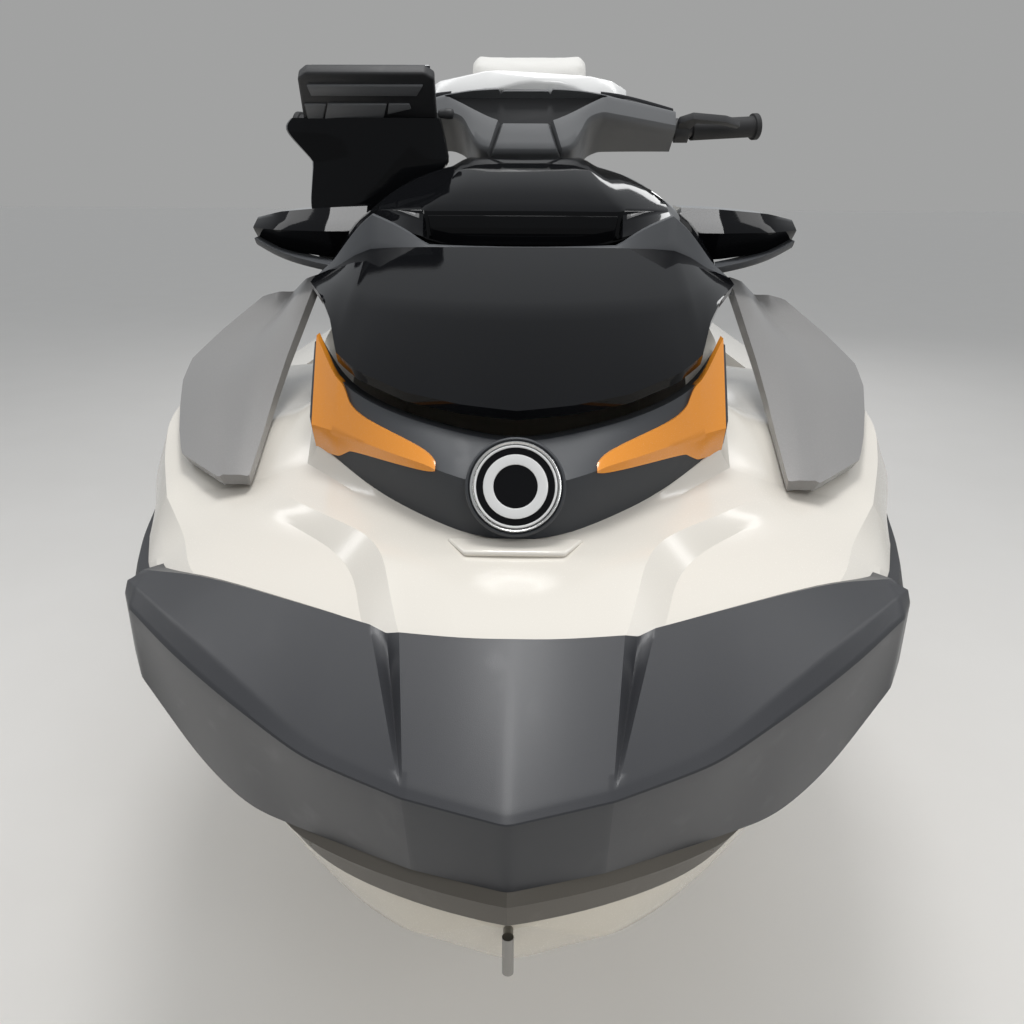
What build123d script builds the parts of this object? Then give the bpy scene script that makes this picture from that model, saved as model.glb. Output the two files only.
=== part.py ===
from build123d import *
import math
import os

os.makedirs("parts", exist_ok=True)

# Fishing personal watercraft, in millimetres.
# X runs to the bow, Y to port and Z up from the waterline. The origin is amidships on the centreline.
TRANSOM = 3300
PLATFORM_REACH = 430
LENGTH = TRANSOM + PLATFORM_REACH
BOW = LENGTH / 2
DRAFT = 280
BOND = 400
PIN_FIT = 0.05
GAP = 5

# Stations are distances aft of the nose, and heights are above the keel.


def station(s):
    """Cross-section at distance s aft: sketch x is to port, sketch y is height."""
    return Plane(origin=(BOW - s, 0, -DRAFT), x_dir=(0, 1, 0), z_dir=(1, 0, 0))


def level(z):
    """Plan at height z: sketch x is distance aft, sketch y is to starboard, and extrusion goes up."""
    return Plane(origin=(BOW, 0, z - DRAFT), x_dir=(-1, 0, 0), z_dir=(0, 0, 1))


def side(y):
    """Side view at y to port: sketch x is distance aft, sketch y is height, and extrusion goes to port."""
    return Plane(origin=(BOW, y, -DRAFT), x_dir=(-1, 0, 0), z_dir=(0, 1, 0))


def at(s, y, z):
    return (BOW - s, y, z - DRAFT)


def whole(half):
    """Full outline from one side's (y, z) points."""
    return list(half) + [(-y, z) for y, z in reversed(half) if y > 0]


def outline(plane, points):
    """Closed straight-sided face on a plane."""
    with BuildSketch(plane) as sketch:
        with BuildLine():
            Polyline(*points, close=True)
        make_face()
    return sketch.sketch


def block(s0, s1, y0, y1, z0, z1, mode=Mode.ADD):
    """Box between stations, offsets to port and heights."""
    with Locations(at((s0 + s1) / 2, (y0 + y1) / 2, (z0 + z1) / 2)):
        Box(abs(s1 - s0), abs(y1 - y0), abs(z1 - z0), mode=mode)


def cross_bar(s, z, y0, y1, radius, mode=Mode.ADD):
    """Round bar across the craft."""
    with Locations(at(s, (y0 + y1) / 2, z)):
        Cylinder(radius, abs(y1 - y0), rotation=(90, 0, 0), mode=mode)


def long_bar(s0, s1, y, z, radius, mode=Mode.ADD):
    """Round bar along the craft."""
    with Locations(at((s0 + s1) / 2, y, z)):
        Cylinder(radius, abs(s1 - s0), rotation=(0, 90, 0), mode=mode)


def upright_bar(s, y, z0, z1, radius, mode=Mode.ADD):
    """Round upright bar."""
    with Locations(at(s, y, (z0 + z1) / 2)):
        Cylinder(radius, abs(z1 - z0), mode=mode)


# Lower hull: station, keel height, chine offset and height, edge offset at the bond line
HULL = [
    (80, 388, 20, 392, 30),
    (140, 297, 92, 326, 122),
    (200, 245, 150, 312, 195),
    (300, 172, 222, 285, 292),
    (450, 100, 305, 262, 405),
    (700, 38, 405, 245, 492),
    (1050, 6, 480, 232, 582),
    (1500, 0, 522, 222, 602),
    (2400, 0, 535, 215, 603),
    (TRANSOM, 0, 530, 212, 598),
]
# Engine block and its pocket
ENGINE = (1600, 2350, 190, 120, 560)
# Jet pump in its tunnel, and the duct up to it from the keel
PUMP_Z = 170
SHAFT_R = 14
TUNNEL_FRONT = TRANSOM - 340
TUNNEL_HALF = 165
TUNNEL_TOP = 330
INTAKE = (TRANSOM - 900, TRANSOM - 450)
DUCT = [
    (INTAKE[0], -10),
    (INTAKE[1], -10),
    (TUNNEL_FRONT, 90),
    (TUNNEL_FRONT, 250),
    (TUNNEL_FRONT - 100, 250),
]
DUCT_HALF = 75
STRAKES = [(205, 1300, TRANSOM - 100), (365, 1500, TRANSOM - 100)]

with BuildPart() as lower_hull:
    loft([outline(station(s), whole([(0, keel), (chine_y, chine_z), (edge, BOND)]))
          for s, keel, chine_y, chine_z, edge in HULL], ruled=True)
    for y, s0, s1 in STRAKES:
        z = 0.395 * y
        for sign in (1, -1):
            strake = [(sign * (y - 26), z + 4), (sign * (y + 4), z - 12), (sign * (y + 8), z + 14)]
            extrude(outline(station(s1), strake), amount=s1 - s0)
    s0, s1, half, z0, z1 = ENGINE
    block(s0, s1, -half, half, z0, z1, mode=Mode.SUBTRACT)
    extrude(outline(side(0), DUCT), amount=DUCT_HALF, both=True, mode=Mode.SUBTRACT)
    block(TUNNEL_FRONT, TRANSOM + 10, -TUNNEL_HALF, TUNNEL_HALF, -10, TUNNEL_TOP, mode=Mode.SUBTRACT)
    long_bar(s1 - 1, TUNNEL_FRONT, 0, PUMP_Z, SHAFT_R + PIN_FIT, mode=Mode.SUBTRACT)

lower_hull.part.label = "lower_hull"
export_step(lower_hull.part, "parts/lower_hull.step")

with BuildPart() as engine_block:
    s0, s1, half, z0, z1 = ENGINE
    block(s0, s1, -half, half, z0, z1)

engine_block.part.label = "engine_block"
export_step(engine_block.part, "parts/engine_block.step")

# Deck: station, then (y, z) of centre, wall top, wall foot, tongue, shoulder, crest, gunwale and bond line
DECK = [
    (170, [(0, 612), (50, 612), (75, 610), (95, 606), (118, 590), (170, 572), (190, 540), (165, BOND)]),
    (230, [(0, 628), (60, 628), (92, 625), (112, 622), (142, 606), (232, 606), (262, 572), (232, BOND)]),
    (300, [(0, 638), (70, 640), (105, 642), (130, 645), (160, 620), (317, 612), (360, 582), (300, BOND)]),
    (420, [(0, 662), (148, 664), (165, 662), (245, 657), (276, 645), (371, 614), (418, 585), (395, BOND)]),
    (500, [(0, 690), (232, 700), (246, 676), (300, 657), (335, 648), (418, 634), (446, 585), (425, BOND)]),
    (600, [(0, 745), (243, 800), (252, 738), (285, 712), (315, 700), (455, 656), (475, 585), (455, BOND)]),
    (700, [(0, 780), (246, 812), (256, 700), (300, 700), (315, 698), (482, 678), (512, 587), (492, BOND)]),
    (800, [(0, 800), (250, 822), (262, 700), (300, 700), (320, 700), (488, 692), (545, 590), (525, BOND)]),
    (1100, [(0, 790), (258, 790), (264, 700), (300, 692), (330, 684), (505, 664), (610, 578), (592, BOND)]),
    (1300, [(0, 640), (150, 640), (212, 636), (250, 622), (300, 615), (474, 604), (620, 560), (596, BOND)]),
    (1370, [(0, 600), (150, 600), (212, 600), (250, 592), (300, 592), (470, 590), (622.5, 550), (600, BOND)]),
    (2000, [(0, 600), (150, 600), (212, 600), (250, 590), (300, 588), (500, 565), (623.5, 530), (604, BOND)]),
    (TRANSOM,
     [(0, 600), (150, 600), (212, 600), (250, 560), (300, 555), (500, 525), (613, 500), (598, BOND)]),
]
# Front storage bin and footwells: stations, offsets and floor heights
STORAGE = (500, 1030, 200, 430, 900)
FOOTWELL = (1370, TRANSOM + 5, 262, 490, 430)
PLINTH_TOP = 600

with BuildPart() as deck:
    loft([outline(station(s), whole(half)) for s, half in DECK if s <= FOOTWELL[0]], ruled=True)
    s0, s1, half, z0, z1 = STORAGE
    block(s0, s1, -half, half, z0, z1, mode=Mode.SUBTRACT)

deck.part.label = "deck"
export_step(deck.part, "parts/deck.step")

with BuildPart() as rear_deck:
    loft([outline(station(s), whole(half)) for s, half in DECK if s >= FOOTWELL[0]], ruled=True)
    s0, s1, half, z0, z1 = ENGINE
    block(s0, s1, -half, half, BOND - 10, z1, mode=Mode.SUBTRACT)
    s0, s1, y0, y1, floor = FOOTWELL
    for sign in (1, -1):
        well = [(s0, y0 + 60), (s0 + 90, y0), (s1, y0), (s1, y1), (s0 + 60, y1)]
        extrude(outline(level(floor), [(s, sign * y) for s, y in well]), amount=500, mode=Mode.SUBTRACT)

rear_deck.part.label = "rear_deck"
export_step(rear_deck.part, "parts/rear_deck.step")

# Bumper around the bow: offset to port, then (s, z) of the crease, bevel, top edge and lower edge
BUMPER = [
    (0, (0, 556), (8, 560), (163, 624), (26, 462)),
    (78, (27, 558), (36, 563), (166, 622), (64, 450)),
    (133, (61, 554), (72, 560), (200, 620), (120, 420)),
    (177, (91, 556), (106, 564), (226, 622), (150, 418)),
    (257, (154, 572), (176, 588), (268, 628), (200, 416)),
    (316, (208, 582), (232, 604), (300, 630), (250, 437)),
    (384, (284, 590), (306, 604), (330, 612), (292, 508)),
    (402, (320, 590), (330, 600), (345, 606), (325, 521)),
]
BUMPER_BACK = 60

with BuildPart() as front_bumper:
    rows = []
    for y, crease, bevel, top, low in BUMPER:
        back = (top[0] + BUMPER_BACK, top[1] - 45)
        foot = (low[0] + BUMPER_BACK + 40, low[1])
        rows.append(outline(side(y), [crease, bevel, top, back, foot, low]))
    loft(rows, ruled=True)
    mirror(about=Plane.XZ)
    add(deck.part, mode=Mode.SUBTRACT)
    add(lower_hull.part, mode=Mode.SUBTRACT)

front_bumper.part.label = "front_bumper"
export_step(front_bumper.part, "parts/front_bumper.step")

# Narrower lip under the bumper: offset to port, then (s, z) of its upper and lower front edges
LIP = [
    (0, (32, 460), (36, 440)),
    (64, (66, 447), (72, 424)),
    (133, (130, 422), (138, 394)),
    (177, (160, 425), (176, 380)),
    (205, (190, 430), (206, 384)),
]
LIP_DEPTH = 80

with BuildPart() as bumper_lip:
    loft([outline(side(y), [top, (top[0] + LIP_DEPTH, top[1]), (low[0] + LIP_DEPTH, low[1]), low])
          for y, top, low in LIP], ruled=True)
    mirror(about=Plane.XZ)
    add(deck.part, mode=Mode.SUBTRACT)
    add(lower_hull.part, mode=Mode.SUBTRACT)
    add(front_bumper.part, mode=Mode.SUBTRACT)

bumper_lip.part.label = "bumper_lip"
export_step(bumper_lip.part, "parts/bumper_lip.step")

# Side rails: station, outer offset, low and high edges
RAILS = [
    (385, 426, 522, 584),
    (450, 450, 500, 580),
    (534, 476, 480, 574),
    (606, 494, 462, 570),
    (697, 517, 445, 566),
    (785, 550, 430, 560),
    (1000, 606, 400, 530),
    (1500, 631, 362, 462),
    (2400, 633, 352, 442),
    (TRANSOM - 60, 618, 352, 432),
]
RAIL_DEPTH = 60

with BuildPart() as side_rails:
    rows = []
    for s, outer, low, high in RAILS:
        middle = (low + high) / 2
        inner = outer - RAIL_DEPTH
        bulge = [(inner, low), (outer - 14, low), (outer, middle), (outer - 10, high), (inner, high)]
        rows.append(outline(station(s), bulge))
    loft(rows, ruled=True)
    for piece in (deck, rear_deck, lower_hull, front_bumper):
        add(piece.part, mode=Mode.SUBTRACT)
    mirror(about=Plane.XZ)

side_rails.part.label = "side_rails"
export_step(side_rails.part, "parts/side_rails.step")

# Side wings beside the hood: station, then (y, z) of the inner edge, ridge and outer edge
WINGS = [
    (480, (310, 655), (332, 656), (340, 655)),
    (553, (310, 686), (356, 676), (407, 661)),
    (620, (310, 716), (374, 695), (431, 672)),
    (700, (310, 749), (390, 720), (456, 685)),
    (782, (310, 778), (398, 736), (479, 702)),
    (850, (310, 802), (382, 760), (487, 720)),
    (905, (311, 819), (367, 778), (457, 753)),
    (955, (312, 833), (352, 806), (402, 800)),
]
WING_THICK = 14
# Struts under the wings: station, offset and top
WING_STRUTS = [(770, 338, 755), (860, 338, 785), (900, 345, 795)]
STRUT_HALF = 9

with BuildPart() as side_wings:
    rows = []
    for s, inner, ridge, outer in WINGS:
        lower = [(y, z - WING_THICK) for y, z in (outer, ridge, inner)]
        rows.append(outline(station(s), [inner, ridge, outer] + lower))
    loft(rows, ruled=True)
    for s, y, top in WING_STRUTS:
        block(s - STRUT_HALF, s + STRUT_HALF, y - STRUT_HALF, y + STRUT_HALF, 640, top)
    mirror(about=Plane.XZ)
    add(deck.part, mode=Mode.SUBTRACT)

side_wings.part.label = "side_wings"
export_step(side_wings.part, "parts/side_wings.step")

# Round emblem plate on the nose
EMBLEM_R = 51
EMBLEM_TILT = 26
EMBLEM_THICK = 22

with BuildPart() as emblem_disc:
    with Locations(Location(at(346, 0, 700), (0, 90 - EMBLEM_TILT, 0))):
        Cylinder(EMBLEM_R, EMBLEM_THICK)
    chamfer(emblem_disc.faces().sort_by(Axis.X)[-1].edges(), 3)

emblem_disc.part.label = "emblem_disc"
export_step(emblem_disc.part, "parts/emblem_disc.step")

# Accent panels: offset, then (s, z) of the upper edge, crease and lower edge of their faces
ACCENTS = [
    (83, (370, 718), (362, 713), (364, 711)),
    (90, (381, 726), (368, 716), (366, 709)),
    (131, (411, 737), (397, 719), (400, 708)),
    (176, (448, 748), (437, 723), (442, 707)),
    (187, (463, 759), (447, 724), (451, 706)),
    (195, (478, 776), (454, 724), (460, 700)),
    (203, (485, 780), (461, 725), (468, 695)),
    (213, (501, 789), (469, 726), (479, 694)),
    (222, (518, 801), (477, 726), (491, 693)),
    (236, (543, 819), (487, 727), (505, 693)),
]
ACCENT_DEPTH = 18

with BuildPart() as accent_panels:
    rows = []
    for y, *face in ACCENTS:
        back = [(s + ACCENT_DEPTH, z) for s, z in reversed(face)]
        rows.append(outline(side(y), face + back))
    loft(rows, ruled=True)
    mirror(about=Plane.XZ)
    add(deck.part, mode=Mode.SUBTRACT)

accent_panels.part.label = "accent_panels"
export_step(accent_panels.part, "parts/accent_panels.step")

# Nose surround: offset, then (s, z) of its lower edge, undercut and upper edge
SURROUND = [
    (0, (325, 645), (338, 698), (396, 731)),
    (60, (353, 648), (348, 709), (405, 741)),
    (110, (391, 651), (383, 718), (420, 750)),
    (160, (434, 655), (425, 722), (446, 762)),
    (205, (479, 664), (466, 725), (490, 778)),
    (240, (525, 684), (497, 732), (550, 812)),
]
SURROUND_DEPTH = 46
# Hood hinge across the surround: station, height, knuckle offsets and radii
HOOD_HINGE = (405, 728)
HOOD_KNUCKLES = [(50, 80), (-80, -50)]
KNUCKLE_R = 9
PIN_R = 4

with BuildPart() as nose_surround:
    rows = []
    for y, low, mid, top in SURROUND:
        back = (top[0] + SURROUND_DEPTH, top[1] - 8)
        foot = (low[0] + 2 * SURROUND_DEPTH, low[1] - 6)
        rows.append(outline(side(y), [low, mid, top, back, foot]))
    loft(rows, ruled=True)
    mirror(about=Plane.XZ)
    for piece in (deck, emblem_disc, accent_panels):
        add(piece.part, mode=Mode.SUBTRACT)
    s0, s1, half, z0, z1 = STORAGE
    block(s0, s1, -half, half, z0, z1, mode=Mode.SUBTRACT)
    add(nose_surround.solids().sort_by(SortBy.VOLUME)[-1], mode=Mode.REPLACE)
    for y0, y1 in HOOD_KNUCKLES:
        cross_bar(*HOOD_HINGE, y0 - GAP, y1 + GAP, KNUCKLE_R + GAP, mode=Mode.SUBTRACT)
        block(HOOD_HINGE[0], 431, y0 - GAP, y1 + GAP, 714, 790, mode=Mode.SUBTRACT)
        cross_bar(*HOOD_HINGE, y0 - 3 * GAP, y1 + 3 * GAP, PIN_R)

nose_surround.part.label = "nose_surround"
export_step(nose_surround.part, "parts/nose_surround.step")

# Hood: offset, then (s, z) of its front lip, middle and rear edge
HOOD = [
    (0, (404, 755), (580, 832), (784, 889)),
    (60, (411, 760), (584, 833), (784, 889)),
    (120, (430, 768), (592, 835), (784, 889)),
    (175, (462, 784), (610, 838), (784, 888)),
    (205, (502, 796), (630, 842), (784, 886)),
    (225, (580, 822), (680, 850), (784, 878)),
    (248, (652, 838), (710, 850), (784, 864)),
    (282, (750, 846), (766, 848), (784, 850)),
]
HOOD_THICK = 12

with BuildPart() as hood:
    rows = []
    for y, lip, mid, rear in HOOD:
        under = [(s, z - HOOD_THICK) for s, z in (rear, mid, lip)]
        rows.append(outline(side(y), [lip, mid, rear] + under))
    loft(rows, ruled=True)
    mirror(about=Plane.XZ)
    for y0, y1 in HOOD_KNUCKLES:
        cross_bar(*HOOD_HINGE, y0, y1, KNUCKLE_R)
        block(405, 425, y0, y1, 728, 757)
        cross_bar(*HOOD_HINGE, y0 - 1, y1 + 1, PIN_R + PIN_FIT, mode=Mode.SUBTRACT)

hood.part.label = "hood"
export_step(hood.part, "parts/hood.step")

# Trim band across the hood's rear edge: (y, z) outline of one half
TRIM = [(0, 878), (205, 876), (240, 862), (290, 838), (290, 858), (262, 882), (228, 926), (206, 943),
        (165, 926), (132, 902), (0, 898)]
TRIM_FRONT = 784
TRIM_REAR = 812

with BuildPart() as trim_band:
    extrude(outline(station(TRIM_REAR), whole(TRIM)[:-1]), amount=TRIM_REAR - TRIM_FRONT)

trim_band.part.label = "trim_band"
export_step(trim_band.part, "parts/trim_band.step")

# Upper cowl: station, then (y, z) outline of one half from the top
COWL = [
    (812, [(136, 900), (205, 941), (262, 880), (290, 850), (284, 838)]),
    (870, [(146, 944), (208, 946), (262, 890), (292, 856), (286, 838)]),
    (950, [(100, 984), (206, 964), (256, 928), (292, 870), (286, 838)]),
    (1050, [(100, 1014), (160, 994), (240, 936), (292, 880), (286, 838)]),
    (1096, [(90, 1018), (150, 994), (236, 930), (286, 880), (280, 838)]),
]
COWL_CAVITY = (830, 1075, 190, 820, 885)

with BuildPart() as upper_cowl:
    loft([outline(station(s), whole(half)) for s, half in COWL], ruled=True)
    s0, s1, half, z0, z1 = COWL_CAVITY
    block(s0, s1, -half, half, z0, z1, mode=Mode.SUBTRACT)

upper_cowl.part.label = "upper_cowl"
export_step(upper_cowl.part, "parts/upper_cowl.step")

# Mirror housings: offset, then front and rear stations and low and high edges
MIRRORS = [
    (240, 935, 1060, 868, 946),
    (300, 915, 1062, 872, 944),
    (370, 920, 1062, 882, 938),
    (414, 950, 1050, 898, 928),
]

with BuildPart() as mirror_housings:
    rows = []
    for y, s0, s1, low, high in MIRRORS:
        middle = low + 0.62 * (high - low)
        rows.append(outline(side(y), [(s0, middle), (s0 + 40, high), (s1, high), (s1, low), (s0 + 30, low)]))
    loft(rows, ruled=True)
    mirror(about=Plane.XZ)
    add(upper_cowl.part, mode=Mode.SUBTRACT)

mirror_housings.part.label = "mirror_housings"
export_step(mirror_housings.part, "parts/mirror_housings.step")

with BuildPart() as mirror_glass:
    polygon_rear = [(300, 884), (392, 898), (392, 924), (300, 934)]
    extrude(outline(station(1068), polygon_rear), amount=12)
    mirror(about=Plane.XZ)
    add(mirror_housings.part, mode=Mode.SUBTRACT)

mirror_glass.part.label = "mirror_glass"
export_step(mirror_glass.part, "parts/mirror_glass.step")

# Console behind the hood: side outline and half width
CONSOLE = [(1112, 600), (1112, 900), (1190, 960), (1268, 930), (1380, 800), (1380, 600)]
CONSOLE_HALF = 150
# Steering axis: its foot's station and height, and its lean aft in degrees
STEER_S = 1230
STEER_Z = 945
STEER_LEAN = 25
STEM_R = 15
COLUMN_R = 34
COLUMN_TOP = 34

lean = math.radians(STEER_LEAN)
STEER = Plane(origin=at(STEER_S, 0, STEER_Z), x_dir=(math.cos(lean), 0, math.sin(lean)),
              z_dir=(-math.sin(lean), 0, math.cos(lean)))


def across(b):
    """Plane across the bars at b to port: sketch x is ahead, sketch y is along the steering axis."""
    return Plane(origin=STEER.from_local_coords((0, b, 0)), x_dir=STEER.x_dir, z_dir=-STEER.y_dir)


with BuildPart() as console:
    extrude(outline(side(0), CONSOLE), amount=CONSOLE_HALF, both=True)
    add(deck.part, mode=Mode.SUBTRACT)
    add(rear_deck.part, mode=Mode.SUBTRACT)
    with BuildSketch(STEER.offset(-80)):
        Circle(COLUMN_R)
    extrude(amount=200, mode=Mode.SUBTRACT)

console.part.label = "console"
export_step(console.part, "parts/console.step")

with BuildPart() as steering_column:
    with BuildSketch(STEER.offset(-80)):
        Circle(COLUMN_R)
        Circle(STEM_R + PIN_FIT, mode=Mode.SUBTRACT)
    extrude(amount=80 + COLUMN_TOP)

steering_column.part.label = "steering_column"
export_step(steering_column.part, "parts/steering_column.step")

# Handlebar: (ahead, to port, along the axis) of the port half's corner and tip
BAR_R = 13
BAR_CORNER = (0, 255, 131)
BAR_TIP = (-34, 412, 157)
GRIP_R = 18
FLANGE_R = 23
GRIP_FROM = 0.26


def port_and_starboard(a, b, h):
    """Points on both sides of the steering axis, from ahead, to port and along the axis."""
    return [STEER.from_local_coords((a, sign * b, h)) for sign in (1, -1)]


with BuildPart() as handlebar:
    with BuildSketch(STEER.offset(-60)):
        Circle(STEM_R)
    extrude(amount=60 + BAR_CORNER[2])
    tips = port_and_starboard(*BAR_TIP)
    corners = port_and_starboard(*BAR_CORNER)
    with BuildLine() as bar_path:
        Polyline(tips[0], corners[0], corners[1], tips[1])
    with BuildSketch(Plane(origin=tips[0], z_dir=corners[0] - tips[0])):
        Circle(BAR_R)
    sweep(path=bar_path.line, transition=Transition.RIGHT)

handlebar.part.label = "handlebar"
export_step(handlebar.part, "parts/handlebar.step")

with BuildPart() as grips:
    for corner, tip in zip(corners, tips):
        start = corner + (tip - corner) * GRIP_FROM
        with BuildSketch(Plane(origin=start, z_dir=tip - start)) as grip_end:
            Circle(GRIP_R)
            Circle(BAR_R, mode=Mode.SUBTRACT)
        extrude(grip_end.sketch, amount=(tip - start).length)
        with BuildSketch(Plane(origin=tip, z_dir=tip - start)) as flange:
            Circle(FLANGE_R)
        extrude(flange.sketch, amount=10)

grips.part.label = "grips"
export_step(grips.part, "parts/grips.step")

# Shroud over the bars: offset to port, then its front, low edge and high edge along the axis
SHROUD = [
    (62, 107, 42, 157),
    (100, 100, 100, 157),
    (140, 90, 112, 155),
    (262, 44, 112, 150),
]
SHROUD_BACK = -40

with BuildPart() as bar_shroud:
    rows = [(-b, front, low, high) for b, front, low, high in reversed(SHROUD)] + SHROUD
    loft([outline(across(b), [(front, low), (front, high), (SHROUD_BACK, high), (SHROUD_BACK, low)])
          for b, front, low, high in rows], ruled=True)
    add(handlebar.part, mode=Mode.SUBTRACT)

bar_shroud.part.label = "bar_shroud"
export_step(bar_shroud.part, "parts/bar_shroud.step")

# Cap over the shroud: (ahead, to port) of one half's plan outline
CAP = [(100, 0), (92, 70), (60, 150), (30, 178), (-20, 160), (-44, 90), (-50, 0)]
CAP_LOW = 157
CAP_HIGH = 192

with BuildPart() as bar_cap:
    cap_outline = CAP + [(a, -b) for a, b in reversed(CAP) if b > 0]
    extrude(outline(STEER.offset(CAP_LOW), cap_outline), amount=CAP_HIGH - CAP_LOW)
    chamfer(bar_cap.faces().sort_by(Axis.Z)[-1].edges(), 12)

bar_cap.part.label = "bar_cap"
export_step(bar_cap.part, "parts/bar_cap.step")

# Levers ahead of the grips: (ahead, to port) outline and heights along the axis, with a round pod each
LEVER = [(8, 268), (34, 270), (50, 292), (40, 350), (24, 378), (16, 374), (30, 340), (34, 300), (8, 290)]
LEVER_LOW = 128
LEVER_HIGH = 140
POD = (-5, 266, 135)
POD_R = 21
POD_LENGTH = 24

with BuildPart() as bar_levers:
    for sign in (1, -1):
        blade = [(a, sign * b) for a, b in LEVER]
        extrude(outline(STEER.offset(LEVER_LOW), blade), amount=LEVER_HIGH - LEVER_LOW)
    for centre in port_and_starboard(*POD):
        with BuildSketch(Plane(origin=centre, z_dir=(0, centre.Y, 0))) as pod:
            Circle(POD_R)
        extrude(pod.sketch, amount=POD_LENGTH)
    add(handlebar.part, mode=Mode.SUBTRACT)

bar_levers.part.label = "bar_levers"
export_step(bar_levers.part, "parts/bar_levers.step")

# Screen on its mount, to starboard of the cowl: (to port, height) outlines and stations
SCREEN_MOUNT = [(-124, 1000), (-150, 968), (-200, 946), (-215, 880), (-150, 850), (-150, 760), (-330, 760),
                (-345, 870), (-345, 938), (-329, 1008), (-372, 1066), (-344, 1078), (-137, 1078)]
MOUNT_FRONT = 1104
MOUNT_REAR = 1150
SCREEN_SIDE = [(1050, 1140), (1062, 1156), (1150, 1084), (1138, 1062)]
SCREEN_SPAN = (-346, -138)
SCREEN_LEAN = math.degrees(math.atan2(72, 88))

with BuildPart() as screen_mount:
    extrude(outline(station(MOUNT_REAR), SCREEN_MOUNT), amount=MOUNT_REAR - MOUNT_FRONT)
    add(console.part, mode=Mode.SUBTRACT)
    add(deck.part, mode=Mode.SUBTRACT)

screen_mount.part.label = "screen_mount"
export_step(screen_mount.part, "parts/screen_mount.step")

with BuildPart() as screen_body:
    extrude(outline(side(SCREEN_SPAN[0]), SCREEN_SIDE), amount=SCREEN_SPAN[1] - SCREEN_SPAN[0])
    add(screen_mount.part, mode=Mode.SUBTRACT)

screen_body.part.label = "screen_body"
export_step(screen_body.part, "parts/screen_body.step")

with BuildPart() as screen_glass:
    with Locations(Location(at(1106, sum(SCREEN_SPAN) / 2, 1120), (0, -SCREEN_LEAN, 0))):
        Box(96, 186, 6)
    add(screen_body.part, mode=Mode.SUBTRACT)

screen_glass.part.label = "screen_glass"
export_step(screen_glass.part, "parts/screen_glass.step")

# Gauge on the console's rear slope
with BuildPart() as gauge:
    slope = math.degrees(math.atan2(130, 112))
    with Locations(Location(at(1327, 0, 869), (0, -90 + slope, 0))):
        Box(16, 150, 90)
    add(console.part, mode=Mode.SUBTRACT)

gauge.part.label = "gauge"
export_step(gauge.part, "parts/gauge.step")

# Glove box: stations, half width, heights and wall
GLOVE = (1384, 1640, 118, 600, 790)
GLOVE_WALL = 8
GLOVE_LID = (794, 816)
LID_PIN_R = 4

with BuildPart() as glovebox_body:
    s0, s1, half, z0, z1 = GLOVE
    block(s0, s1, -half, half, z0, z1)
    inside = half - GLOVE_WALL
    block(s0 + 24, s1 - GLOVE_WALL, -inside, inside, z0 + GLOVE_WALL, z1 + 1, mode=Mode.SUBTRACT)
    for y0, y1 in [(60, 90), (-90, -60)]:
        cross_bar(s0 + 10, z1 + 8, y0, y1, 8)
        block(s0 + 2, s0 + 18, y0, y1, z1 - 10, z1 + 6)
        cross_bar(s0 + 10, z1 + 8, y0 - 1, y1 + 1, LID_PIN_R + PIN_FIT, mode=Mode.SUBTRACT)

glovebox_body.part.label = "glovebox_body"
export_step(glovebox_body.part, "parts/glovebox_body.step")

with BuildPart() as glovebox_lid:
    block(s0 + 26, s1, -half, half, *GLOVE_LID)
    block(s0 + 10, s0 + 27, -55, 55, z1 + 4, z1 + 12)
    cross_bar(s0 + 10, z1 + 8, -95, 95, LID_PIN_R)

glovebox_lid.part.label = "glovebox_lid"
export_step(glovebox_lid.part, "parts/glovebox_lid.step")

# Swivel seat: axis station, heights of its pieces
SEAT_S = 2000
PEDESTAL_R = 70
SPINDLE_R = 25
SWIVEL = (700, 712)
PAN = (712, 760)
CUSHION_TOP = 862

with BuildPart() as seat_pedestal:
    upright_bar(SEAT_S, 0, PLINTH_TOP, PLINTH_TOP + 14, 120)
    upright_bar(SEAT_S, 0, 614, 695, PEDESTAL_R)
    upright_bar(SEAT_S, 0, 695, 742, SPINDLE_R)

seat_pedestal.part.label = "seat_pedestal"
export_step(seat_pedestal.part, "parts/seat_pedestal.step")

# Seat pan, cushion and backrest: side outlines, plan outline and half widths
SEAT_PLAN = [(1770, 130), (1800, 190), (1900, 215), (2150, 215), (2200, 180)]
BACK_SIDE = [(2172, 850), (2190, 900), (2196, 1150), (2214, 1260), (2238, 1288), (2266, 1270), (2276, 1150),
             (2262, 900), (2240, 850)]
BACK_HALF = 160
BRACKET_SIDE = [(2100, 715), (2100, 738), (2262, 760), (2290, 1000), (2310, 1000), (2286, 735), (2240, 715)]
BRACKET_HALF = 60

with BuildPart() as seat_base:
    upright_bar(SEAT_S, 0, *SWIVEL, 95)
    s0, s1 = SEAT_PLAN[0][0], SEAT_PLAN[-1][0]
    plan = SEAT_PLAN + [(s, -y) for s, y in reversed(SEAT_PLAN)]
    extrude(outline(level(PAN[0]), plan), amount=PAN[1] - PAN[0])
    extrude(outline(side(0), BRACKET_SIDE), amount=BRACKET_HALF, both=True)
    upright_bar(SEAT_S, 0, SWIVEL[0], 744, SPINDLE_R + PIN_FIT, mode=Mode.SUBTRACT)

seat_base.part.label = "seat_base"
export_step(seat_base.part, "parts/seat_base.step")

with BuildPart() as seat_backrest:
    extrude(outline(side(0), BACK_SIDE), amount=BACK_HALF, both=True)
    chamfer(seat_backrest.edges().group_by(Axis.Y)[-1] + seat_backrest.edges().group_by(Axis.Y)[0], 14)
    add(seat_base.part, mode=Mode.SUBTRACT)

seat_backrest.part.label = "seat_backrest"
export_step(seat_backrest.part, "parts/seat_backrest.step")

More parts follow.
